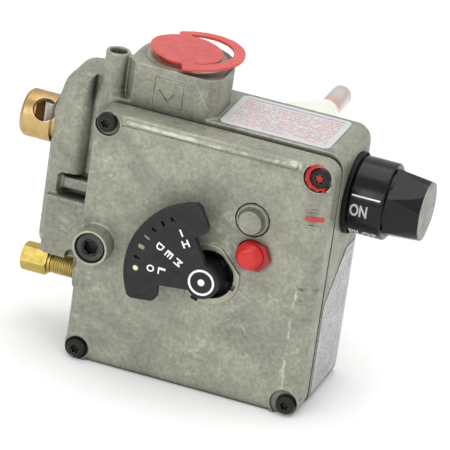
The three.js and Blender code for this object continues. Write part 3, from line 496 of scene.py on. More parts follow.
def label(name, paper, ink, header, across, down, low, high, rough, metallic):
    """A printed label: a header band and rows of short bars in place of words. low and high are its edges,
    in metres, along the reading direction and down the page."""
    m = Nodes(name, Metallic=metallic)
    u, v = m.axis(across), m.axis(down)
    (u0, v0), (u1, v1) = low, high
    margin, soft = 0.0024, 0.0003
    row = m.maths("DIVIDE", v, LABEL_PITCH)
    number, within = m.maths("FLOOR", row), m.maths("FRACT", row)

    def broken(step, across_rows, low_end, high_end):
        """Stretches of ink and gap along each row."""
        seed = {0: m.maths("MULTIPLY", u, step), 1: m.maths("MULTIPLY", number, across_rows), 2: 0.0}
        vector = m.node("ShaderNodeCombineXYZ", seed).outputs[0]
        return m.ramp(m.noise(1.0, 1, 0.5, vector), low_end, high_end)

    letters = broken(1300, 7.31, 0.4, 0.5)
    words = broken(210, 3.17, 0.34, 0.4)
    line = m.maths("MULTIPLY", m.ramp(within, 0.2, 0.34), m.ramp(within, 0.66, 0.8, 1.0, 0.0))
    columns = m.between(u, u0 + margin, u1 - margin, soft)
    page = m.maths("MULTIPLY", columns, m.between(v, v0 + margin, v1 - 2 * margin, soft))
    text = m.maths("MULTIPLY", m.maths("MULTIPLY", letters, words), m.maths("MULTIPLY", line, page))
    band = m.maths("MULTIPLY", m.between(v, v1 - 1.6 * margin, v1 - 0.8 * margin, soft), columns)
    band = m.maths("MULTIPLY", band, m.ramp(letters, 0.2, 0.5, 0.4, 0.9))
    scuffed = m.mix(m.ramp(m.noise(140, 5), 0.5, 0.75, 0.0, 0.35), paper, shade(paper, 0.72))
    tone = m.mix(m.maths("MULTIPLY", text, 0.75), scuffed, ink)
    m.set("Base Color", m.mix(m.maths("MULTIPLY", band, 0.7), tone, header))
    m.set("Roughness", m.ramp(m.noise(200, 3), 0.3, 0.7, rough - 0.08, rough + 0.12))
    m.set("Normal", m.bump(m.noise(60, 2), 0.0004, 0.25))
    return m.material


def in_frame(point):
    """A point about the datum, in millimetres, as one in the frame, in metres."""
    return tuple(DATUM + MM * Vector(point))


CAST = cast_metal("die_cast", rgb(154, 155, 139), rgb(134, 135, 122), 0.44)
# The cover's top crest and right-hand crest get a painted highlight along with rubbed wear.
COVER_CAST = cast_metal("die_cast_cover", rgb(154, 155, 139), rgb(134, 135, 122), 0.44, [
    ("Z", in_frame((0, 0, TOP - 1.6))[2], "X", in_frame((-38, 0, 0))[0], in_frame((40, 0, 0))[0], 0.0011),
    ("X", in_frame((44.2, 0, 0))[0], "Z", in_frame((0, 0, BOTTOM + 11))[2], in_frame((0, 0, 1))[2], 0.0008),
])
MACHINED = turned_metal(
    "machined_alloy", rgb(176, 176, 156), rgb(134, 134, 118), 0.4, lambda m: m.noise(1200, 2), metallic=0.7
)
BLACK_SCREW = turned_metal(
    "black_oxide", rgb(38, 38, 37), rgb(12, 12, 12), 0.36, lambda m: m.noise(900, 3), rgb(128, 128, 122), 0.6
)
WORN_SCREW = turned_metal(
    "worn_oxide", rgb(74, 74, 70), rgb(34, 34, 32), 0.4, lambda m: m.noise(900, 3), rgb(150, 150, 142), 0.6
)
GLOSS_BLACK = moulded(
    "gloss_black", rgb(8, 8, 8), 0.22, 700, 0.00002, edge=rgb(36, 37, 36), mottle=0.04, Specular_IOR_Level=0.3
)
DIAL_BLACK = moulded(
    "dial_black", rgb(29, 29, 29), 0.5, 1300, 0.00006, edge=rgb(74, 74, 73), Specular_IOR_Level=0.3
)
DEEP_BLACK = moulded("deep_black", rgb(12, 12, 12), 0.55, Specular_IOR_Level=0.2)
WHITE_PRINT = printed("white_print", rgb(236, 236, 230))
RED_PAINT = printed("red_paint", rgb(178, 56, 50), 0.35)
GREY_PRINT = printed("grey_print", rgb(190, 192, 190))
CREAM, BEIGE = printed("cream_fill", rgb(240, 230, 198)), printed("beige_fill", rgb(146, 143, 118))
SALMON = moulded(
    "salmon_plastic", rgb(196, 72, 68), 0.36, 500, 0.00008, edge=rgb(232, 150, 142), mottle=0.16,
    Subsurface_Weight=0.15,
)
BUTTON_RED = moulded("button_red", rgb(190, 28, 24), 0.34, edge=rgb(222, 96, 84), mottle=0.08)
SEAL_RED = moulded("seal_red", rgb(158, 16, 12), 0.16, 400, 0.00014, mottle=0.15)
GUARD_RED = moulded("guard_red", rgb(150, 20, 22), 0.3, edge=rgb(206, 84, 84), mottle=0.08)
BRASS = turned_metal(
    "turned_brass", rgb(196, 168, 116), rgb(158, 126, 80), 0.36, lambda m: m.bands(0.0005, "X")
)
# Painted shade: a dark copy of the brass for the barrel's inner wall, where shade falls inside the bore.
PAINTED_SHADE_BRASS = turned_metal(
    "brass_painted_shade", rgb(92, 62, 34), rgb(46, 30, 18), 0.5, lambda m: m.bands(0.0005, "X")
)
YELLOW_BRASS = turned_metal(
    "yellow_brass", rgb(200, 178, 96), rgb(174, 148, 72), 0.46, lambda m: m.bands(0.0007, "X")
)
STEEL = turned_metal("bright_steel", rgb(196, 196, 192), rgb(120, 120, 116), 0.3, lambda m: m.noise(800, 3))
SATIN_STEEL = turned_metal(
    "satin_steel", rgb(206, 202, 192), rgb(150, 146, 134), 0.5, lambda m: m.noise(900, 2), metallic=0.5
)
BRUSHED = turned_metal(
    "brushed_disc", rgb(148, 149, 140), rgb(104, 104, 98), 0.4,
    lambda m: m.rings(in_frame((0, KNOB.y, KNOB.z)), 0.0004, "x"),
)
CAP_METAL = cast_metal("cap_alloy", rgb(148, 149, 133), rgb(130, 131, 116), 0.36)
OFF_WHITE = moulded(
    "off_white", rgb(232, 229, 214), 0.42, 500, 0.00006, edge=rgb(250, 248, 240), Subsurface_Weight=0.1
)
RUBBER = moulded("valve_rubber", rgb(24, 24, 24), 0.75, 700, 0.0001)


def probe_metal():
    """The probe: grey at its tip, warmed to a copper pink towards its root."""
    m = Nodes("probe_metal", Metallic=0.85)
    warmth = m.ramp(m.axis("Y"), in_frame((0, 118, 0))[1], in_frame((0, 134, 0))[1], 1.0, 0.0)
    streaks = m.ramp(m.noise(60, 4, 0.6, m.stretched((6, 1, 6))), 0.35, 0.7)
    tone = m.mix(warmth, rgb(214, 210, 204), rgb(226, 186, 170))
    tone = m.mix(m.maths("MULTIPLY", streaks, 0.4), tone, rgb(186, 164, 152))
    m.set("Base Color", tone)
    m.set("Roughness", m.ramp(m.noise(200, 3), 0.3, 0.7, 0.32, 0.5))
    m.set("Normal", m.bump(m.bands(0.0006, "Y"), 0.00002, 0.5))
    return m.material


def fibre():
    """The gasket: dark pressed fibre."""
    m = Nodes("gasket_fibre")
    strands = m.noise(900, 5, 0.7, m.stretched((1, 1, 5)))
    m.set("Base Color", m.mix(m.ramp(strands, 0.35, 0.65), rgb(34, 30, 25), rgb(66, 58, 48)))
    m.set("Roughness", m.ramp(strands, 0.3, 0.7, 0.75, 0.95))
    m.set("Normal", m.bump(strands, 0.0002, 0.6))
    return m.material


LABEL_PITCH = 0.0021  # between rows of print
PROBE_METAL, FIBRE = probe_metal(), fibre()
top_low, top_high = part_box("top_label")
side_low, side_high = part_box("side_label")
TOP_LABEL = label(
    "printed_label", rgb(196, 198, 199), rgb(188, 96, 92), rgb(132, 134, 134), "X", "Y",
    (top_low.x, top_low.y), (top_high.x, top_high.y), 0.4, 0.0,
)
SIDE_LABEL = label(
    "foil_label", rgb(172, 175, 174), rgb(112, 114, 112), rgb(96, 98, 98), "Y", "Z",
    (side_low.y, side_low.z), (side_high.y, side_high.z), 0.35, 0.45,
)

# ---------------------------------------------------------------- placing


def place(obj, name, body, slot, materials, nodes=()):
    """Names a finished shape, puts it in the frame and has it ride on a body in place of CAD nodes."""
    obj.name = obj.data.name = name
    obj.data.transform(Matrix.Translation(DATUM) @ Matrix.Scale(MM, 4))
    obj.data.materials.clear()
    for material in materials:
        obj.data.materials.append(material)
    obj.data.shade_smooth()
    obj.data.set_sharp_from_angle(angle=math.radians(38))
    weighted = obj.modifiers.new("normals", "WEIGHTED_NORMAL")
    weighted.keep_sharp = True
    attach(obj, body)
    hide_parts(*nodes)
    return obj


def repaint(obj, index, test):
    """Gives faces whose middle passes the test, in millimetres about the datum, another material."""
    for face in obj.data.polygons:
        if test((face.center - DATUM) / MM):
            face.material_index = index


def near(axis, point, centre):
    """How far a point is from a line along the axis."""
    return (Vector(centre_of(axis, point)) - Vector(centre)).length


# ---------------------------------------------------------------- castings

at_screws = [(place_of.x, place_of.z) for place_of in screws.values()]
bolt_at, dial_at, cap_at, reset_at = ((p.x, p.z) for p in (BOLT, DIAL, CAP, RESET))
knob_at, outlet_at, pilot_at = ((p.y, p.z) for p in (KNOB, OUTLET, PILOT))
inlet_at, post_at = (INLET.x, INLET.y), (POST.x, POST.y)
shank_at = (SHANK.x, SHANK.z)
pockets = [  # the counterbores: centre and radius
    ((x - math.copysign(reach - SCREW_HEAD - 0.7, x), z - 0.6 * (z > 0)), reach)
    for (x, z), reach in zip(at_screws, (5.4, 6.2, 5.1, 6.1), strict=True)
]


def opening(r, flat, start, end):
    """A round bar about the dial's centre with one flat towards the upper right."""
    lean = math.radians(RIM_LEAN)
    line = []
    for i in range(96):
        angle = 2 * math.pi * i / 96
        reach = min(r, flat / max(math.cos(angle), 1e-6)) if math.cos(angle) > 0 else r
        line.append((DIAL.x + reach * math.cos(angle + lean), DIAL.z + reach * math.sin(angle + lean)))
    return prism("y", line, start, end)


def rim_notch():
    notch = block(RIM_BORE - 1, RIM_BORE + 1.5, -3, 0.3, -1.4, 1.4)
    notch.data.transform(Matrix.Translation((DIAL.x, 0, DIAL.z)) @ Matrix.Rotation(math.radians(17), 4, "Y"))
    return notch


def index_mark(z, middle_rise):
    """Two short raised bars with a longer one between them, over the cover's right edge."""
    over = outline([(43.9, -0.7), (47, -0.7, 0.8), (RIGHT + 0.4, 3.2, 0.8), (RIGHT + 0.4, 6), (43.9, 6)], 3)
    short = outline([(44.6, -0.6), (47, -0.6, 0.8), (50.5, 1.2), (50.5, 6), (44.6, 6)], 3)
    ends = [prism("z", short, z + dz - 0.5, z + dz + 0.5) for dz in (-3.6, 3.6)]
    return [prism("z", over, z + middle_rise - 0.95, z + middle_rise + 0.95), *ends]


def front_cover():
    face = outline([(LEFT, BOTTOM, 5.2), (RIGHT, BOTTOM, 5.2), (RIGHT, TOP, 7), (LEFT, TOP, 5.2)])
    back = COVER_BACK
    plan = outline([(LEFT, 0, 1.6), (44.2, 0), (50.2, 1.1, 3), (RIGHT, 5, 2), (RIGHT, back), (LEFT, back)])
    side = outline([(0, BOTTOM, 1.6), (back, BOTTOM), (back, TOP), (0, TOP, 3.2)])
    cover = meet(
        prism("y", face, -1, back + 1),
        prism("z", plan, BOTTOM - 5, TOP + 5),
        prism("x", side, LEFT - 5, RIGHT + 5),
    )
    step = 0.9
    inner = outline([
        (LEFT + step, BOTTOM + step, 4.3), (RIGHT - step, BOTTOM + step, 4.3),
        (RIGHT - step, TOP - step, 6.1), (LEFT + step, TOP - step, 4.3),
    ])
    around = prism("y", rectangle(LEFT - 5, RIGHT + 5, BOTTOM - 5, TOP + 5), back - 0.8, back + 2)
    cover = cut(cover, cut(around, prism("y", inner, back - 2, back + 3)))
    hollow = cut(
        prism("y", rectangle(LEFT + WALL, RIGHT - WALL, BOTTOM + WALL, TOP - WALL, 2), 3, back + 1),
        *[bar("y", centre, 0, back + 2, SCREW_BOSS) for centre in at_screws],
        bar("y", bolt_at, 0, back + 2, BOLT_BOSS),
        bar("y", reset_at, 0, 12, RESET_BOSS),
        bar("y", cap_at, 0, 12.9, CAP_BOSS),
    )
    collar = cut(
        join(bar("y", bolt_at, COLLAR_FACE, 3, COLLAR, COLLAR_FOOT), bar("y", bolt_at, 2, back, COLLAR_FOOT)),
        block(LEFT - 30, LEFT - 1.4, -10, 20, -30, 30),
    )
    rims = [bar("y", centre, -0.5, 2, r + 1.1, r + 2) for centre, r in pockets]
    cover = join(
        cut(cover, hollow),
        meet(prism("y", face, -2, 2), join(*rims)),
        collar,
        opening(RIM, RIM_FLAT, -1.2, 2),
        bar("x", (0.2, TOP - 1.9), -39, 37, 1.3, sides=24),
        *index_mark(KNOB.z, 0),
        *index_mark(-1.5, 1),
    )
    cover = cut(
        cover,
        bar("y", bolt_at, -9, 1, BOLT_HEAD + 0.45),
        bar("y", bolt_at, 0, back + 1, BOLT_HOLE),
        opening(RIM_BORE, RIM_FLAT - 1.6, -3, 7),
        rim_notch(),
        bar("y", cap_at, -1, 1.6, CAP_R + 0.35),
        bar("y", cap_at, 0, 7, CAP_NECK + 0.3),
        bar("y", cap_at, 5.5, back, CAP_CHAMBER),
        bar("y", reset_at, -1, 12.5, RESET_R + 0.3),
        *[bar("y", centre, -2, SCREW_SEAT, r) for centre, r in pockets],
        *[bar("y", centre, 0, back + 1, SCREW_HOLE) for centre in at_screws],
        block(-41, 39, -1, 0.5, TOP - 4.1, TOP - 3.4),
    )
    soften(cover, 0.36, 3, 0.3)
    place(cover, "cover_casting", "valve_body", "cast", [COVER_CAST, MACHINED], ["front_cover"])
    repaint(cover, 1, lambda p: p.y < -6.9 or (p.y < -0.95 and RIM_BORE - 2 < near("y", p, dial_at) < RIM))


def inlet_boss():
    x, y = inlet_at
    corner = 4
    line = [(x - INLET_HALF, CASTING_FRONT + corner), (x - INLET_HALF + corner, CASTING_FRONT)]
    line += [(x + INLET_HALF - corner, CASTING_FRONT), (x + INLET_HALF, CASTING_FRONT + corner)]
    line += [
        (x + INLET_HALF * math.cos(math.pi * i / 48), y + INLET_HALF * math.sin(math.pi * i / 48))
        for i in range(49)
    ]
    land = bar("z", inlet_at, INLET_TOP - 1, INLET_TOP, INLET_LAND, sides=96)
    return [prism("z", line, 50, INLET_TOP - 0.4), land]


def arrow_panel():
    """The cuts for the inlet boss's panel: its outline, and an arrow head that points down."""
    start = CASTING_FRONT - 1
    panel = rectangle(-34.3, -20.9, 58.8, 71.4, 0.8)
    inner = rectangle(-33.8, -21.4, 59.3, 70.9, 0.5)
    line = prism("y", panel, start, CASTING_FRONT + 0.25)
    cut(line, prism("y", inner, start - 1, CASTING_FRONT + 1))
    head = outline([(-32, 65.4), (-27.8, 60.8), (-24.6, 64.8), (-25.2, 65.3), (-27.8, 61.8), (-31.4, 65.9)])
    return [line, prism("y", head, start, CASTING_FRONT + 0.35)]


def wing_wall(inset):
    """The manifold's outline seen from the front, drawn in on its free sides by the inset."""
    left, top, bottom = WING_LEFT + inset, WING_TOP - inset, WING_BOTTOM + inset
    return outline([
        (left, bottom, 6.5 - inset), (WING_RIGHT, bottom), (WING_RIGHT, top),
        (-74, top, 9 - inset), (left, 42, 20 - inset),
    ])


def wing():
    """The manifold on the left with its channel, pocket and rib, and the pilot block under it."""
    rounding, steps, ahead = 5.5, 8, WING_FRONT - 2
    turns = [math.pi / 2 * i / steps for i in range(steps + 1)]
    rings = [
        (rounding * (1 - math.sin(turn)), WING_FRONT + rounding * (1 - math.cos(turn))) for turn in turns
    ]
    rings.append((0, WING_BACK))
    wall = loft("y", [[(u, v, depth) for u, v in wing_wall(inset)] for inset, depth in rings])
    channel = prism("y", rectangle(CHANNEL_LEFT, WING_RIGHT, 8, WING_TOP + 2), ahead, CHANNEL_FLOOR)
    shoulder = [
        (CHANNEL_LEFT - 6 * (1 - math.sin(turn)), CHANNEL_FLOOR - 5 * math.cos(turn)) for turn in turns
    ]
    shoulder += [(WING_RIGHT, CHANNEL_FLOOR), (WING_RIGHT, ahead), (-68, ahead)]
    shoulder = prism("z", shoulder, 12, WING_TOP + 2)
    floor_line = outline([
        (-73, ahead), (WING_RIGHT, ahead), (WING_RIGHT, 26), (-68, 26, 3), (POCKET_LEFT, 19.5, 1),
    ])
    pocket = meet(
        prism("y", rectangle(POCKET_LEFT, -58, BLOCK_TOP, 16, 3), ahead, 26),
        prism("z", floor_line, 0, 20),
    )
    rib = meet(
        prism("x", rectangle(20.8, 33, 8.2, 13.9, 1.2), -73.5, -52),
        prism("z", outline([(-71, 20.8, 2.5), (WING_RIGHT, 20.8), (WING_RIGHT, 34), (-71, 34, 1)]), 0, 20),
    )
    base = outline([
        (BLOCK_LEFT, WING_BOTTOM, 1.5), (WING_RIGHT, WING_BOTTOM),
        (WING_RIGHT, BLOCK_TOP), (BLOCK_LEFT, BLOCK_TOP, 1.5),
    ])
    slope = outline([(BLOCK_LEFT, 17, 2), (-40, 17), (-40, 40), (BLOCK_LEFT, 40, 2)])
    pilot_block = meet(prism("y", base, 16, 40), prism("z", slope, -25, 10))
    lip = prism("x", rectangle(16.2, 20, 3.6, 5.8, 0.7), -75.6, -53)
    whole = join(cut(wall, channel, pocket, shoulder), rib, join(pilot_block, lip))
    return cut(whole, bar("y", (-61, -20), 15, 20.5, 2.8))


def main_casting():
    right, top, back = RIGHT, CASTING_TOP, CASTING_BACK
    front_view = outline([(LEFT, BOTTOM, 4), (right, BOTTOM, 3.5), (right, top, 8), (LEFT, top, 4)])
    plan = outline([(LEFT, CASTING_FRONT), (right, CASTING_FRONT), (right, back, 3), (LEFT, back, 3)])
    shell = meet(prism("y", front_view, CASTING_FRONT - 1, back + 1), prism("z", plan, BOTTOM - 3, top + 3))
    cavity = cut(
        block(LEFT + WALL, right - WALL, CASTING_FRONT - 1, back - 6, BOTTOM + WALL, top - WALL),
        *[bar("y", centre, CASTING_FRONT - 2, back, SCREW_BOSS) for centre in at_screws],
        bar("y", bolt_at, CASTING_FRONT - 2, back, BOLT_SLEEVE),
    )
    pin = middle("lever_pin")
    brackets = [block(x, x + 2, pin.y - 2.4, back - 4, pin.z - 4, pin.z + 4) for x in (-0.9, 12.6)]
    casting = join(
        shell,
        *inlet_boss(),
        wing(),
        bar("z", post_at, 50, POST_TOP, POST_R),
        cut(bar("z", post_at, 50, 60, 7.2, 5.6), block(-70, -40, 0, CASTING_FRONT, 40, 70)),
        bar("x", pilot_at, PILOT_PORT - 2.4, LEFT + 2, PILOT_BOSS),
        block(-62.5, LEFT + 2, 26, 38, -28, -18),
        bar("y", shank_at, back - 2, SHANK_START - GAP, SHANK_BOSS),
    )
    casting = join(cut(casting, cavity), *brackets)
    casting = cut(
        casting,
        bar("x", (pin.y, pin.z), -3, 20, PIN_HOLE),
        bar("z", inlet_at, 57, INLET_TOP + 1, INLET_BORE, sides=96),
        bar("z", inlet_at, 50, 60, INLET_THROAT, sides=96),
        bar("z", post_at, 62, POST_TOP + 1, POST_BORE),
        bar("z", post_at, 52, 64, 1.4, sides=24),
        bar("x", outlet_at, OUTLET_SEAT - 1, -70, OUTLET_SOCKET),
        bar("x", (31.5, OUTLET.z), -71, LEFT + WALL + 1, OUTLET_PASSAGE),
        bar("x", pilot_at, PILOT_PORT - 5, LEFT + WALL + 1, PILOT_BORE),
        bar("y", shank_at, back - 8, SHANK_START + 1, SHANK_NECK + 0.3),
        bar("x", knob_at, right - WALL - 1, right + 1, COCK_BORE),
        bar("y", bolt_at, CASTING_FRONT - 2, 49.5, BOLT_BORE),
        *[bar("y", centre, CASTING_FRONT - 2, 34.5, SCREW_TAP) for centre in at_screws],
    )
    casting = cut(soften(casting, 0.5, 3, 0.26), *arrow_panel())
    place(casting, "body_casting", "valve_body", "cast", [CAST, MACHINED], ["main_casting"])
    repaint(casting, 1, lambda p: p.z > INLET_TOP - 0.5 and near("z", p, inlet_at) < INLET_LAND + 1)


front_cover()
main_casting()

# ---------------------------------------------------------------- fasteners, seal and paint


def star(centre, r, start, end):
    """A six-lobed driver recess."""
    return loft("y", [
        circle(centre, lambda a: r * (0.86 + 0.14 * math.cos(6 * a)), t, 72) for t in (start, end)
    ])


def cover_screw(name, centre):
    seat = SCREW_SEAT - GAP
    head = SCREW_HEAD
    body = turned("y", centre, [
        (2.5, SCREW_FACE), (3.2, SCREW_FACE, 0.3), (4.05, SCREW_FACE + 0.7, 0.5),
        (head, SCREW_FACE + 1.7, 0.5),
        (head, seat, 0.2), (2.1, seat), (2.1, 6),
    ])
    tip = threaded("y", centre, 5.9, 34, 2.3, 0.35, 1.2, sides=24)
    screw = cut(join(body, tip), star(centre, 2.35, SCREW_FACE - 1, SCREW_FACE + 1.9))
    bevel(screw, 0.12)
    place(screw, f"screw_{name}", "valve_body", "black_screw", [BLACK_SCREW], [f"cover_screw_{name}"])


for screw_name, (screw_x, screw_z) in zip(screws, at_screws, strict=True):
    cover_screw(screw_name, (screw_x, screw_z))


def mounting_bolt():
    face, head, seat = BOLT_FACE, BOLT_HEAD, 0.9
    body = turned("y", bolt_at, [
        (3.8, face), (head, face, 0.7), (head, seat, 0.3), (BOLT_SHANK, seat, 0.3), (BOLT_SHANK, 30),
    ])
    thread = threaded("y", bolt_at, 29.9, 49, BOLT_SHANK, 0.5, 1.25, sides=32)
    bolt = cut(
        join(body, thread),
        bar("y", bolt_at, face - 1, face + 4, BOLT_SOCKET, sides=6, turn=20),
        bar("y", bolt_at, face - 0.1, face + 0.6, 4.2, 3.2),
    )
    bevel(bolt, 0.15)
    place(bolt, "socket_bolt", "valve_body", "black_screw", [BLACK_SCREW, WORN_SCREW], ["mounting_bolt"])
    repaint(bolt, 1, lambda p: p.y < BOLT_FACE + 0.2)


def tamper_seal():
    """Sealing compound: a crescent in the top right counterbore, and a dab in the screw's recess."""
    x, z = at_screws[1]
    pocket, _ = pockets[1]
    ring = cut(
        bar("y", pocket, -0.9, SCREW_SEAT - GAP, 5.2, 6.0),
        bar("y", (x, z), -3, 2, SCREW_HEAD + 0.12),
        prism("y", [(x - 2.4, z + 12), (x + 14, z + 12), (x + 14, z - 7), (x + 3.4, z - 4.6)], -4, 3),
    )
    drips = [(-5.2, 1.2, 1.3), (-5.3, -1.9, 1.5), (-3.7, -4.3, 1.5), (-0.6, -5.4, 1.2), (2.4, -5.6, 0.9)]
    lumps = [bar("y", (x + dx, z + dz), -1.25, -0.1, r * 0.7, r, sides=24) for dx, dz, r in drips]
    seal = soften(join(ring, *lumps), 0.2, 5, 0.5)
    place(seal, "seal_compound", "valve_body", "seal_red", [SEAL_RED], ["tamper_seal"])
    low = SCREW_FACE
    dab = turned("y", (x - 0.3, z - 0.2), [(0.7, low + 0.2, 0.2), (1.6, low + 0.7, 0.3), (1.95, low + 1.85)])
    place(soften(dab, 0.15, 3, 0.6), "seal_dab", "valve_body", "seal_red", [SEAL_RED])


def index_paint():
    """Red paint on the index bar, brushed a little past its ends."""
    over = outline([
        (43.8, -0.9), (47.1, -0.9, 0.8), (51.2, 1.6, 0.5), (51.2, 2.2), (47, -0.5), (43.8, -0.5),
    ], 3)
    stripe = bevel(prism("z", over, KNOB.z - 1.0, KNOB.z + 1.0), 0.12)
    place(stripe, "index_stripe", "valve_body", "seal_red", [RED_PAINT], ["index_paint"])


mounting_bolt()
tamper_seal()
index_paint()

# ---------------------------------------------------------------- inlet plug and pilot line


def inlet_plug():
    x, y = inlet_at
    start = INLET_TOP + 2.3
    disc = bar("z", (x - 0.9, y), start, start + 1.3, PLUG_R, sides=96)
    for vertex in disc.data.vertices:
        vertex.co.z -= DISC_TILT * (vertex.co.x - x)
    skirt = tube("z", inlet_at, INLET_TOP - 8, start + 0.4, INLET_BORE - 0.4, INLET_BORE - 2, 96)
    ring = cut(
        bar("z", (x + 2.8, y - 0.8), start - 0.3, start + 1.2, RING_R, sides=128),
        bar("z", (x + 2.2, y), start - 1, start + 3, RING_BORE, sides=128),
        block(x - 30, x - 3.5, 0, 70, start - 1, start + 3),
    )
    shoulders = [
        block(x - 3.4, x + 1.6, y + low, y + high, start - 0.3, start + 1.2)
        for low, high in ((-18.6, -15.4), (15.4, 18.6))
    ]
    tab = join(ring, *shoulders)
    for vertex in tab.data.vertices:
        vertex.co.z += TAB_LIFT * max(0, vertex.co.x - x + 3.4)
    ribs = []
    for i in range(3):
        near_edge = y - 4 + 3.2 * i
        bar_outline = rectangle(x - 6, x + 4 - i, near_edge, near_edge + 1.2, 0.4)
        ribs.append(prism("z", bar_outline, start + 0.8, start + 1.6))
    plug = soften(join(disc, skirt, tab, *ribs), 0.27, 3, 0.45)
    centre = Matrix.Translation((x, y, 0))
    plug.data.transform(centre @ Matrix.Rotation(math.radians(PLUG_TURN), 4, "Z") @ centre.inverted())
    place(plug, "shipping_plug", "inlet_plug", "red_plastic", [SALMON], ["inlet_plug"])


def pilot_screw():
    top, r = POST_TOP - 2.2, POST_BORE - 0.2
    body = turned("z", post_at, [(0.8, 66), (r, 68, 0.4), (r, top, 0.35), (0.5, top)])
    slot = block(POST.x - 5, POST.x + 5, POST.y - 0.5, POST.y + 0.5, top - 1.4, top + 1)
    screw = bevel(cut(body, slot), 0.1)
    place(screw, "slotted_screw", "pilot_screw", "steel", [STEEL], ["pilot_adjusting_screw"])


def pilot_nut():
    across = PILOT_ACROSS
    blank = turned("x", pilot_at, [
        (1, PILOT_END), (across - 0.75, PILOT_END, 0.2), (across + 0.3, PILOT_END + 0.9),
        (across + 0.3, PILOT_SEAT - 0.7), (across - 0.6, PILOT_SEAT, 0.2), (1, PILOT_SEAT),
    ])
    head = meet(bar("x", pilot_at, PILOT_END - 1, PILOT_SEAT + 1, across, sides=6), blank)
    collar, root = 4.9, 4.1
    neck = turned("x", pilot_at, [
        (1, PILOT_SEAT - 1), (3.9, PILOT_SEAT - 1), (collar, PILOT_SEAT + 0.35, 0.2),
        (collar, PILOT_SEAT + 1.5, 0.2), (root, PILOT_SEAT + 1.7),
        (root, PILOT_SEAT + 3), (1, PILOT_SEAT + 3),
    ])
    thread = threaded("x", pilot_at, PILOT_SEAT + 2.4, -56.5, PILOT_THREAD, 0.36, 1.06)
    bore = bar("x", pilot_at, PILOT_END - 1, -50, PILOT_TUBE)
    mouth = bar("x", pilot_at, PILOT_END - 0.1, PILOT_END + 0.8, 3.2, 2.3)
    nut = cut(join(head, neck, thread), bore, mouth)
    place(bevel(nut, 0.12), "hex_nut", "valve_body", "brass", [YELLOW_BRASS], ["pilot_nut"])


inlet_plug()
pilot_screw()
pilot_nut()

# ---------------------------------------------------------------- burner outlet


def outlet_barrel():
    r, bore, end, seat = OUTLET_R, OUTLET_BORE, OUTLET_END, OUTLET_SEAT
    spigot, inner, inner_end, pin_r, pin_half = 9, 5.6, -72, 2.9, 7.2
    barrel = turned("x", outlet_at, [
        (bore, end + 1, 0.2), (bore + 0.8, end, 0.2), (r - 1.2, end, 0.3),
        (r, end + 1.5, 0.4), (r, seat, 0.2),
        (spigot, seat), (spigot, -70.3), (inner, -70.3), (inner, inner_end), (bore, inner_end),
    ], 128, closed=True)
    window = bar("z", (0, 0), 0, 20, 4.9, 5.6, sides=64)
    window.data.transform(Matrix.Rotation(math.radians(52), 4, "X"))
    window.data.transform(Matrix.Translation((OUTLET_WINDOW, OUTLET.y, OUTLET.z)))
    bevel(cut(barrel, window), 0.35, 2, 50)
    place(barrel, "brass_barrel", "valve_body", "brass", [BRASS, PAINTED_SHADE_BRASS], ["outlet_barrel"])
    # Painted shade: the bore's inner wall gets the dark copy of the brass.
    repaint(barrel, 1, lambda p: p.x > end + 3 and near("x", p, outlet_at) < bore + 0.2)
    x, z = OUTLET_WINDOW + 0.6, OUTLET.z
    pin = turned("z", (x, OUTLET.y), [
        (0.8, z - pin_half), (pin_r, z - pin_half, 0.6), (pin_r, z + pin_half, 0.6), (0.8, z + pin_half),
    ])
    place(pin, "cross_pin", "valve_body", "steel", [SATIN_STEEL], ["outlet_cross_pin"])


outlet_barrel()

# ---------------------------------------------------------------- dial


def lettering(text, width, height, thick, across=0.0):
    """Letters as a thin solid, centred, with X to the right, Y up and Z out. across is the longest step up
    the letters that stays flat, for words that are bent round something."""
    curve = bpy.data.curves.new("letters", "FONT")
    curve.body, curve.extrude, curve.offset = text, 0.5, 0.025
    carrier = bpy.data.objects.new("letters", curve)
    scene.collection.objects.link(carrier)
    mesh = bpy.data.meshes.new_from_object(carrier.evaluated_get(bpy.context.evaluated_depsgraph_get()))
    bpy.data.objects.remove(carrier)
    low = Vector(min(v.co[i] for v in mesh.vertices) for i in range(3))
    high = Vector(max(v.co[i] for v in mesh.vertices) for i in range(3))
    size = high - low
    for vertex in mesh.vertices:
        u, v, w = vertex.co - (low + high) / 2
        vertex.co = (u * width / size.x, v * height / size.y, w / size.z * thick)
    if across:
        bm = bmesh.new()
        bm.from_mesh(mesh)
        for i in range(1, math.ceil(height / across)):
            geometry = bm.verts[:] + bm.edges[:] + bm.faces[:]
            level = (0, -height / 2 + i * across, 0)
            bmesh.ops.bisect_plane(bm, geom=geometry, plane_co=level, plane_no=(0, 1, 0))
        bm.to_mesh(mesh)
        bm.free()
    letters = bpy.data.objects.new("letters", mesh)
    scene.collection.objects.link(letters)
    return letters


def dial_word(word, angle):
    """A word read from the hub outwards, one upright letter under another, tops towards the hub."""
    turn = math.radians(angle)
    out = Vector((math.cos(turn), math.sin(turn)))
    right = Vector((-out.y, out.x))
    pitch, outer, tall = 5.0, 22.8, 3.3
    widths = {"I": 0.75}
    made = []
    for i, letter in enumerate(word):
        glyph = lettering(letter, widths.get(letter, 3.1), tall, 0.14)
        middle_r = outer - pitch * (len(word) - 1 - i)
        for vertex in glyph.data.vertices:
            u, v, w = vertex.co
            spot = Vector(dial_at) + out * (middle_r - v) + right * u
            vertex.co = (spot.x, DIAL_FACE + 0.02 - w, spot.y)
        made.append(glyph)
    return made


def dial_turned(angle):
    """A move from the origin to the dial's pivot after a turn in degrees."""
    return Matrix.Translation((DIAL.x, 0, DIAL.z)) @ Matrix.Rotation(math.radians(angle), 4, "Y")


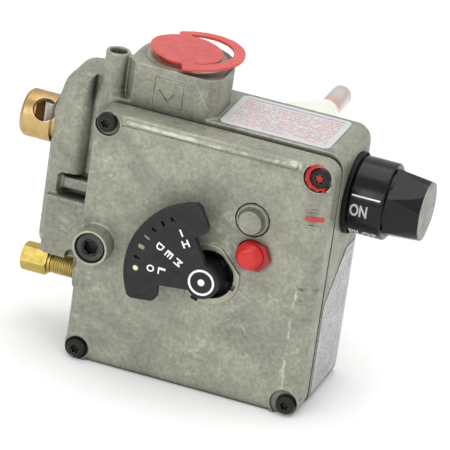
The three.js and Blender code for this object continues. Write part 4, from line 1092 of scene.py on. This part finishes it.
def dial_sector():
    """The dial's outline about its pivot, with the middle of its scale along +X."""
    offset, lug, spread = 4.4, 7.7, math.radians(33.2)

    def edge(along, across, side):
        u = along * math.cos(spread) - across * math.sin(spread)
        v = along * math.sin(spread) + across * math.cos(spread)
        return (u, side * v)

    lug_end = math.sqrt(DIAL_RIM**2 - (offset + lug) ** 2)
    limit = math.atan2(*reversed(edge(lug_end + 0.2, offset + lug - 1.2, 1)))
    turns = [limit * (i / 48 - 1) for i in range(97)]
    rim = [(DIAL_RIM * math.cos(turn), DIAL_RIM * math.sin(turn)) for turn in turns]
    corners = [
        (0, offset, 0), (19.6, offset, 0), (19.6, offset + lug, 3.2), (lug_end - 1.4, offset + lug, 0),
    ]
    lower = [(*edge(along, across, -1), r) for along, across, r in corners]
    upper = [(u, -v, r) for u, v, r in reversed(lower)]
    return outline([*lower, *rim, *upper, (-5.3, 0)], 5)


def dial():
    seat = dial_turned(-DIAL_LEAN)
    face, back = DIAL_FACE, DIAL_FACE + DIAL_THICK
    plate = join(prism("y", dial_sector(), face, back), bar("y", (0, 0), face, back, HUB_R, sides=96))
    marks = [(1.35, 1.35), (1.5, 0.8), (1.3, 0.65), (1.6, 0.65), (1.7, 1.2), (1.5, 0.8), (1.35, 1.35)]
    fills = {3: ("mark_middle", BEIGE), 4: ("mark_medium", BEIGE), 6: ("mark_low", CREAM)}
    for i, (reach, half) in enumerate(marks):
        spin = Matrix.Rotation(-math.radians(10 * i - 30), 4, "Y")
        low, high = DIAL_SCALE - reach, DIAL_SCALE + reach
        tool = prism("y", rectangle(low, high, -half, half, half * 0.98), face - 1, back + 1)
        tool.data.transform(spin)
        cut(plate, tool)
        if i in fills:
            name, material = fills[i]
            shrunk = rectangle(low + GAP, high - GAP, GAP - half, half - GAP, half * 0.85)
            fill = bevel(prism("y", shrunk, face + 0.5, back - 0.3), 0.1)
            fill.data.transform(seat @ spin)
            place(fill, name, "dial", "white_print", [material])
    bevel(plate, 0.35, 3, 40)
    plate.data.transform(seat)
    place(plate, "dial_sector", "dial", "dial_plastic", [DIAL_BLACK], ["dial_plate"])
    for name, word, angle in (("low", "LO", 179), ("medium", "MED", 151), ("high", "HI", 120.5)):
        for i, glyph in enumerate(dial_word(word, angle)):
            place(glyph, f"dial_word_{name}_{i}", "dial", "white_print", [WHITE_PRINT])


def dial_hub():
    start, foot = DIAL_FACE + DIAL_THICK + GAP, 2.6
    hub = turned("y", dial_at, [
        (HUB_BORE, start), (HUB_R, start, 0.3), (HUB_R, foot, 0.5), (HUB_BORE, foot),
    ], closed=True)
    ear = (9.2, -0.6, 2.2, 1.5)
    tab = (11, start + 0.8, start + 3.6, 1.6)
    lugs = []
    for angle, (far, low, high, half) in ((-109, tab), (-20, ear), (50, ear), (160, ear)):
        lug = prism("y", rectangle(6, far, -half, half, 0.5), low, high)
        lug.data.transform(dial_turned(-angle))
        lugs.append(lug)
    bevel(join(hub, *lugs), 0.2)
    place(hub, "hub_under_dial", "dial", "black_plastic", [DEEP_BLACK], ["dial_hub"])
    low, high = DIAL_FACE - 0.3, DIAL_FACE + 0.02
    ring = turned("y", dial_at, [
        (BADGE_BORE, low, 0.05), (BADGE_R, low, 0.05), (BADGE_R, high), (BADGE_BORE, high),
    ], closed=True)
    place(ring, "badge_ring", "dial", "white_print", [WHITE_PRINT], ["dial_badge"])
    dot = turned("y", dial_at, [(0.3, low), (DOT_R, low, 0.08), (DOT_R, high), (0.3, high)])
    place(dot, "badge_dot", "dial", "white_print", [WHITE_PRINT], ["dial_pivot_dot"])


dial()
dial_hub()

# ---------------------------------------------------------------- regulator cap and reset button


def regulator_cap():
    face = span("regulator_cap")[0].y
    cap = turned("y", cap_at, [
        (0.4, face + 0.3), (4.1, face + 0.3, 0.15), (4.4, face, 0.12), (5.0, face, 0.2), (5.35, -0.7, 0.15),
        (5.8, -0.7, 0.15), (6.1, -1.0, 0.15), (6.7, -0.9, 0.3), (CAP_R, 0, 0.2), (CAP_R, 1.5),
        (CAP_NECK, 1.5), (CAP_NECK, 5), (0.4, 5),
    ])
    place(cap, "cap_plug", "valve_body", "machined", [CAP_METAL], ["regulator_cap"])


def reset_button():
    face = RESET_FACE
    button = turned("y", reset_at, [
        (0.3, face + 0.3), (0.8, face + 0.05, 0.2), (3.6, face, 0.2), (4.1, face + 0.25, 0.3),
        (4.6, face + 1.0, 0.6), (RESET_R, face + 3.6, 0.9), (RESET_R, 2.6), (0.3, 2.6),
    ])
    place(button, "red_button", "reset_button", "button_red", [BUTTON_RED], ["reset_button"])
    corners = [
        (RESET.x + 2.1 + RESET_HEX * math.cos(turn), RESET.z - 0.1 + RESET_HEX * math.sin(turn), 1.2)
        for turn in (math.radians(60 * i - 4) for i in range(6))
    ]
    guard = cut(prism("y", outline(corners), -2.6, -GAP), bar("y", reset_at, -5, 3, RESET_R + 0.2))
    bevel(guard, 0.3, 3, 40)
    place(guard, "button_bushing", "valve_body", "button_red", [GUARD_RED], ["reset_bushing"])


regulator_cap()
reset_button()

# ---------------------------------------------------------------- knob


def knob_word(text, width, height, along, angle):
    """A word on the knob's skirt, read along the axis, its middle at an angle up from the front."""
    word = lettering(text, width, height, 0.12, 0.5)
    for vertex in word.data.vertices:
        u, v, w = vertex.co
        turn, r = math.radians(angle) + v / KNOB_R, KNOB_R + 0.02 + w
        vertex.co = (along + u, KNOB.y - r * math.cos(turn), KNOB.z + r * math.sin(turn))
    return word


def grip_flats(inset):
    """Two three-sided pyramids that flatten the knob's grip: one set of flats widens towards its end."""
    start, end = KNOB_SHOULDER, KNOB_END + 1
    return [
        bar("x", knob_at, start, end, 2 * (14 - inset), 2 * (near_end - inset), sides=3, turn=turn)
        for near_end, turn in ((12.3, 4), (12.8, 64))
    ]


def knob():
    base, shoulder, end, r, tip = KNOB_BASE, KNOB_SHOULDER, KNOB_END, KNOB_R, KNOB_TIP
    skirt = turned("x", knob_at, [
        (1, base), (r, base, 0.5), (r, shoulder, 0.9), (14.4, shoulder, 0.4), (14.4, shoulder + 1.4),
        (1, shoulder + 1.4),
    ], 160)
    grip = meet(bar("x", knob_at, shoulder + 0.8, end, 16.2, tip + 0.3, sides=160), *grip_flats(0))
    bevel(grip, 0.45, 3, 12)
    shell = cut(
        join(skirt, grip),
        cut(bar("x", knob_at, base - 1, shoulder - 2, 14.4), bar("x", knob_at, base + 2.5, shoulder, 7.6)),
        bar("x", knob_at, base - 1, 74.5, 4.25),
        meet(bar("x", knob_at, end - 0.5, end + 2, tip - 0.4, sides=96), *grip_flats(0.5)),
    )
    place(shell, "cock_knob", "gas_knob", "black_plastic", [GLOSS_BLACK], ["gas_knob"])
    disc = bevel(meet(bar("x", knob_at, end - 0.4, end + 0.1, tip - 0.5, sides=96), *grip_flats(0.6)), 0.12)
    place(disc, "end_disc", "gas_knob", "steel", [BRUSHED], ["knob_end_disc"])
    for name, text, width, along, angle in KNOB_WORDS:
        word = knob_word(text, width, 5.4, along, angle)
        place(word, f"knob_word_{name}", "gas_knob", "white_print", [GREY_PRINT])
    line = loft("x", [[
        (KNOB.y - reach * math.cos(turn), KNOB.z + reach * math.sin(turn), t)
        for reach, turn in ((r - 0.1, 0.32), (r + 0.07, 0.32), (r + 0.07, 0.36), (r - 0.1, 0.36))
    ] for t in (56, 68.5)])
    place(line, "knob_line", "gas_knob", "white_print", [WHITE_PRINT])
    low, high = RIGHT + GAP, RIGHT + 2
    # Painted shade: the bezel's black floor, seen between its rim and the knob's skirt, stands in for the
    # shade in the hollow round the knob's base.
    bezel = turned("x", knob_at, [
        (8, low), (KNOB_BEZEL, low, 0.2), (KNOB_BEZEL, high, 0.4), (KNOB_BEZEL - 0.65, high, 0.2),
        (KNOB_BEZEL - 0.65, low + 0.4), (8, low + 0.4),
    ], 160, closed=True)
    place(bezel, "bezel_ring", "valve_body", "black_plastic", [DEEP_BLACK], ["knob_bezel"])


knob()

# ---------------------------------------------------------------- tank shank and probe


def tank_shank():
    start, end, r, bore = SHANK_START, SHANK_END, SHANK_R, SHANK_BORE
    neck = turned("y", shank_at, [
        (1, 50.6), (SHANK_NECK, 50.6, 0.3), (SHANK_NECK, start + 1), (1, start + 1),
    ])
    blank = turned("y", shank_at, [
        (1, start), (17.4, start), (18.6, start + 1), (18.6, start + 6), (17.4, start + 7), (1, start + 7),
    ])
    hexagon = meet(bar("y", shank_at, start, start + 7, 18.4, sides=6), blank)
    thread = threaded("y", shank_at, start + 6.5, end, r, 0.9, 1.814, r - 0.6, 96)
    shank = cut(join(neck, hexagon, thread), bar("y", shank_at, 49, end + 1, bore))
    place(bevel(shank, 0.15, 2, 50), "brass_shank", "valve_body", "brass", [YELLOW_BRASS], ["tank_shank"])


def protector():
    """A moulded cup over the thread that runs down to the probe in a cone."""
    bore, clear = PROBE_R + 0.4, SHANK_R + 0.3
    cup = turned("y", shank_at, [
        (bore, CUP_END, 0.2), (bore, CUP_END - 3.5), (clear, SHANK_END + 0.5), (clear, CUP_START, 0.2),
        (CUP_R - 0.2, CUP_START, 0.8), (CUP_R, CUP_CONE - 1.5, 0.8), (CUP_R - 0.4, CUP_CONE, 0.4),
        (bore + 0.75, CUP_END, 0.3),
    ], 128, closed=True)
    place(cup, "thread_protector", "shank_protector", "white_plastic", [OFF_WHITE], ["shank_protector"])


def probe():
    r, start, end, bore = PROBE_R, PROBE_START, PROBE_END, 2.6
    tube_shape = turned("y", shank_at, [
        (bore, start), (SHANK_BORE - 0.2, start), (SHANK_BORE - 0.2, start + 6), (r, start + 6),
        (r, end, 1.2), (1, end), (1, end - 2.5), (bore, end - 2.5),
    ], closed=True)
    place(tube_shape, "sensing_probe", "valve_body", "copper", [PROBE_METAL], ["probe_tube"])


tank_shank()
protector()
probe()

# ---------------------------------------------------------------- springs under the knob and the button


def coil_spring(node, name, axis, centre, r, turns):
    """A compression spring coiled between the two ends of a CAD node along the axis."""
    wire, sides, steps = 0.45, 12, round(32 * turns)
    low, high = span(node)
    i = "xyz".index(axis)
    start, length = low[i] + wire, high[i] - low[i] - 2 * wire
    rings = []
    for step in range(steps + 1):
        turn = 2 * math.pi * turns * step / steps
        ring = []
        for side in range(sides):
            angle = 2 * math.pi * side / sides
            reach, t = r + wire * math.cos(angle), start + length * step / steps + wire * math.sin(angle)
            ring.append((centre[0] + reach * math.cos(turn), centre[1] + reach * math.sin(turn), t))
        rings.append(ring)
    coil = place(loft(axis, rings), name, "valve_body", "steel", [STEEL], [node])
    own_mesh(coil)


coil_spring("knob_spring", "knob_coil", "x", knob_at, 5.8, 2.5)
coil_spring("reset_spring", "button_coil", "y", reset_at, 4.2, 4)

# ---------------------------------------------------------------- CAD nodes that stay

kept = {
    FIBRE: ["body_gasket"],
    TOP_LABEL: ["top_label"],
    SIDE_LABEL: ["side_label"],
    BRASS: [
        "pilot_ferrule", "dial_adjusting_screw", "cock_packing_bush", "cock_plug", "cock_sleeve",
        "main_valve_seat",
    ],
    DEEP_BLACK: ["dial_bushing"],
    RUBBER: ["regulator_diaphragm", "safety_valve_disc", "main_valve_disc"],
    STEEL: [
        "inlet_screen", "regulator_spring", "reset_spring_seat", "reset_stem", "safety_magnet", "cock_shaft",
        "probe_rod", "thermostat_lever", "lever_pin",
    ],
}
for kept_material, names in kept.items():
    for kept_name in names:
        kept_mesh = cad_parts[kept_name].data
        kept_mesh.materials.clear()
        kept_mesh.materials.append(kept_material)

# ---------------------------------------------------------------- floor, light and camera


def floor():
    """A wide pale sheet of studio paper under the valve."""
    half, steps = 3.0, 24
    bm = bmesh.new()
    bmesh.ops.create_grid(bm, x_segments=steps, y_segments=steps, size=half)
    mesh = bpy.data.meshes.new("floor")
    bm.to_mesh(mesh)
    bm.free()
    sheet = bpy.data.objects.new("floor", mesh)
    scene.collection.objects.link(sheet)
    m = Nodes("studio_paper")
    m.set("Base Color", m.mix(m.ramp(m.noise(30, 3), 0.3, 0.7), rgb(252, 252, 252), rgb(254, 254, 254)))
    m.set("Roughness", m.ramp(m.noise(80, 2), 0.3, 0.7, 0.8, 0.9))
    sheet.data.materials.append(m.material)


def lamp(name, place_at, aim, width, power):
    light = bpy.data.lights.new(name, "AREA")
    light.shape, light.size, light.energy = "SQUARE", width, power
    made = bpy.data.objects.new(name, light)
    made.location = place_at
    made.rotation_euler = (Vector(aim) - Vector(place_at)).to_track_quat("-Z", "Y").to_euler()
    scene.collection.objects.link(made)


floor()
low_corner, high_corner = cad_box
aim_point = (low_corner + high_corner) / 2
lamp("key", (-0.45, -1.15, 0.6), aim_point, 0.7, 4.6)
lamp("fill", (1.1, -0.9, 0.7), aim_point, 0.9, 2)
lamp("top", (0.1, 0.2, 1.5), aim_point, 1.4, 10.8)
world = bpy.data.worlds.new("studio")
world.use_nodes = True
world.node_tree.nodes["Background"].inputs["Color"].default_value = (1, 1, 1, 1)
world.node_tree.nodes["Background"].inputs["Strength"].default_value = 0.78
scene.world = world
scene.view_settings.view_transform = "Standard"


def camera():
    """A long lens in front, a little to the right and above, rolled a few degrees."""
    across, above, roll = (math.radians(angle) for angle in (15.8, 23.7, 8.4))
    back = Vector((math.sin(across) * math.cos(above), -math.cos(across) * math.cos(above), math.sin(above)))
    right = Vector((math.cos(across), math.sin(across), 0))
    up = back.cross(right)
    tilted_right = right * math.cos(roll) + up * math.sin(roll)
    tilted_up = up * math.cos(roll) - right * math.sin(roll)
    away, shown = 2.0, 0.189
    aim = DATUM + tilted_right * 11.84 * MM + tilted_up * 16.25 * MM
    lens = bpy.data.cameras.new("camera")
    lens.sensor_width = 36
    lens.lens = lens.sensor_width * away / shown
    lens.clip_start, lens.clip_end = 0.1, 20
    made = bpy.data.objects.new("camera", lens)
    turned_to = Matrix((tilted_right, tilted_up, back)).transposed().to_4x4()
    made.matrix_world = Matrix.Translation(aim + back * away) @ turned_to
    scene.collection.objects.link(made)
    scene.camera = made


camera()
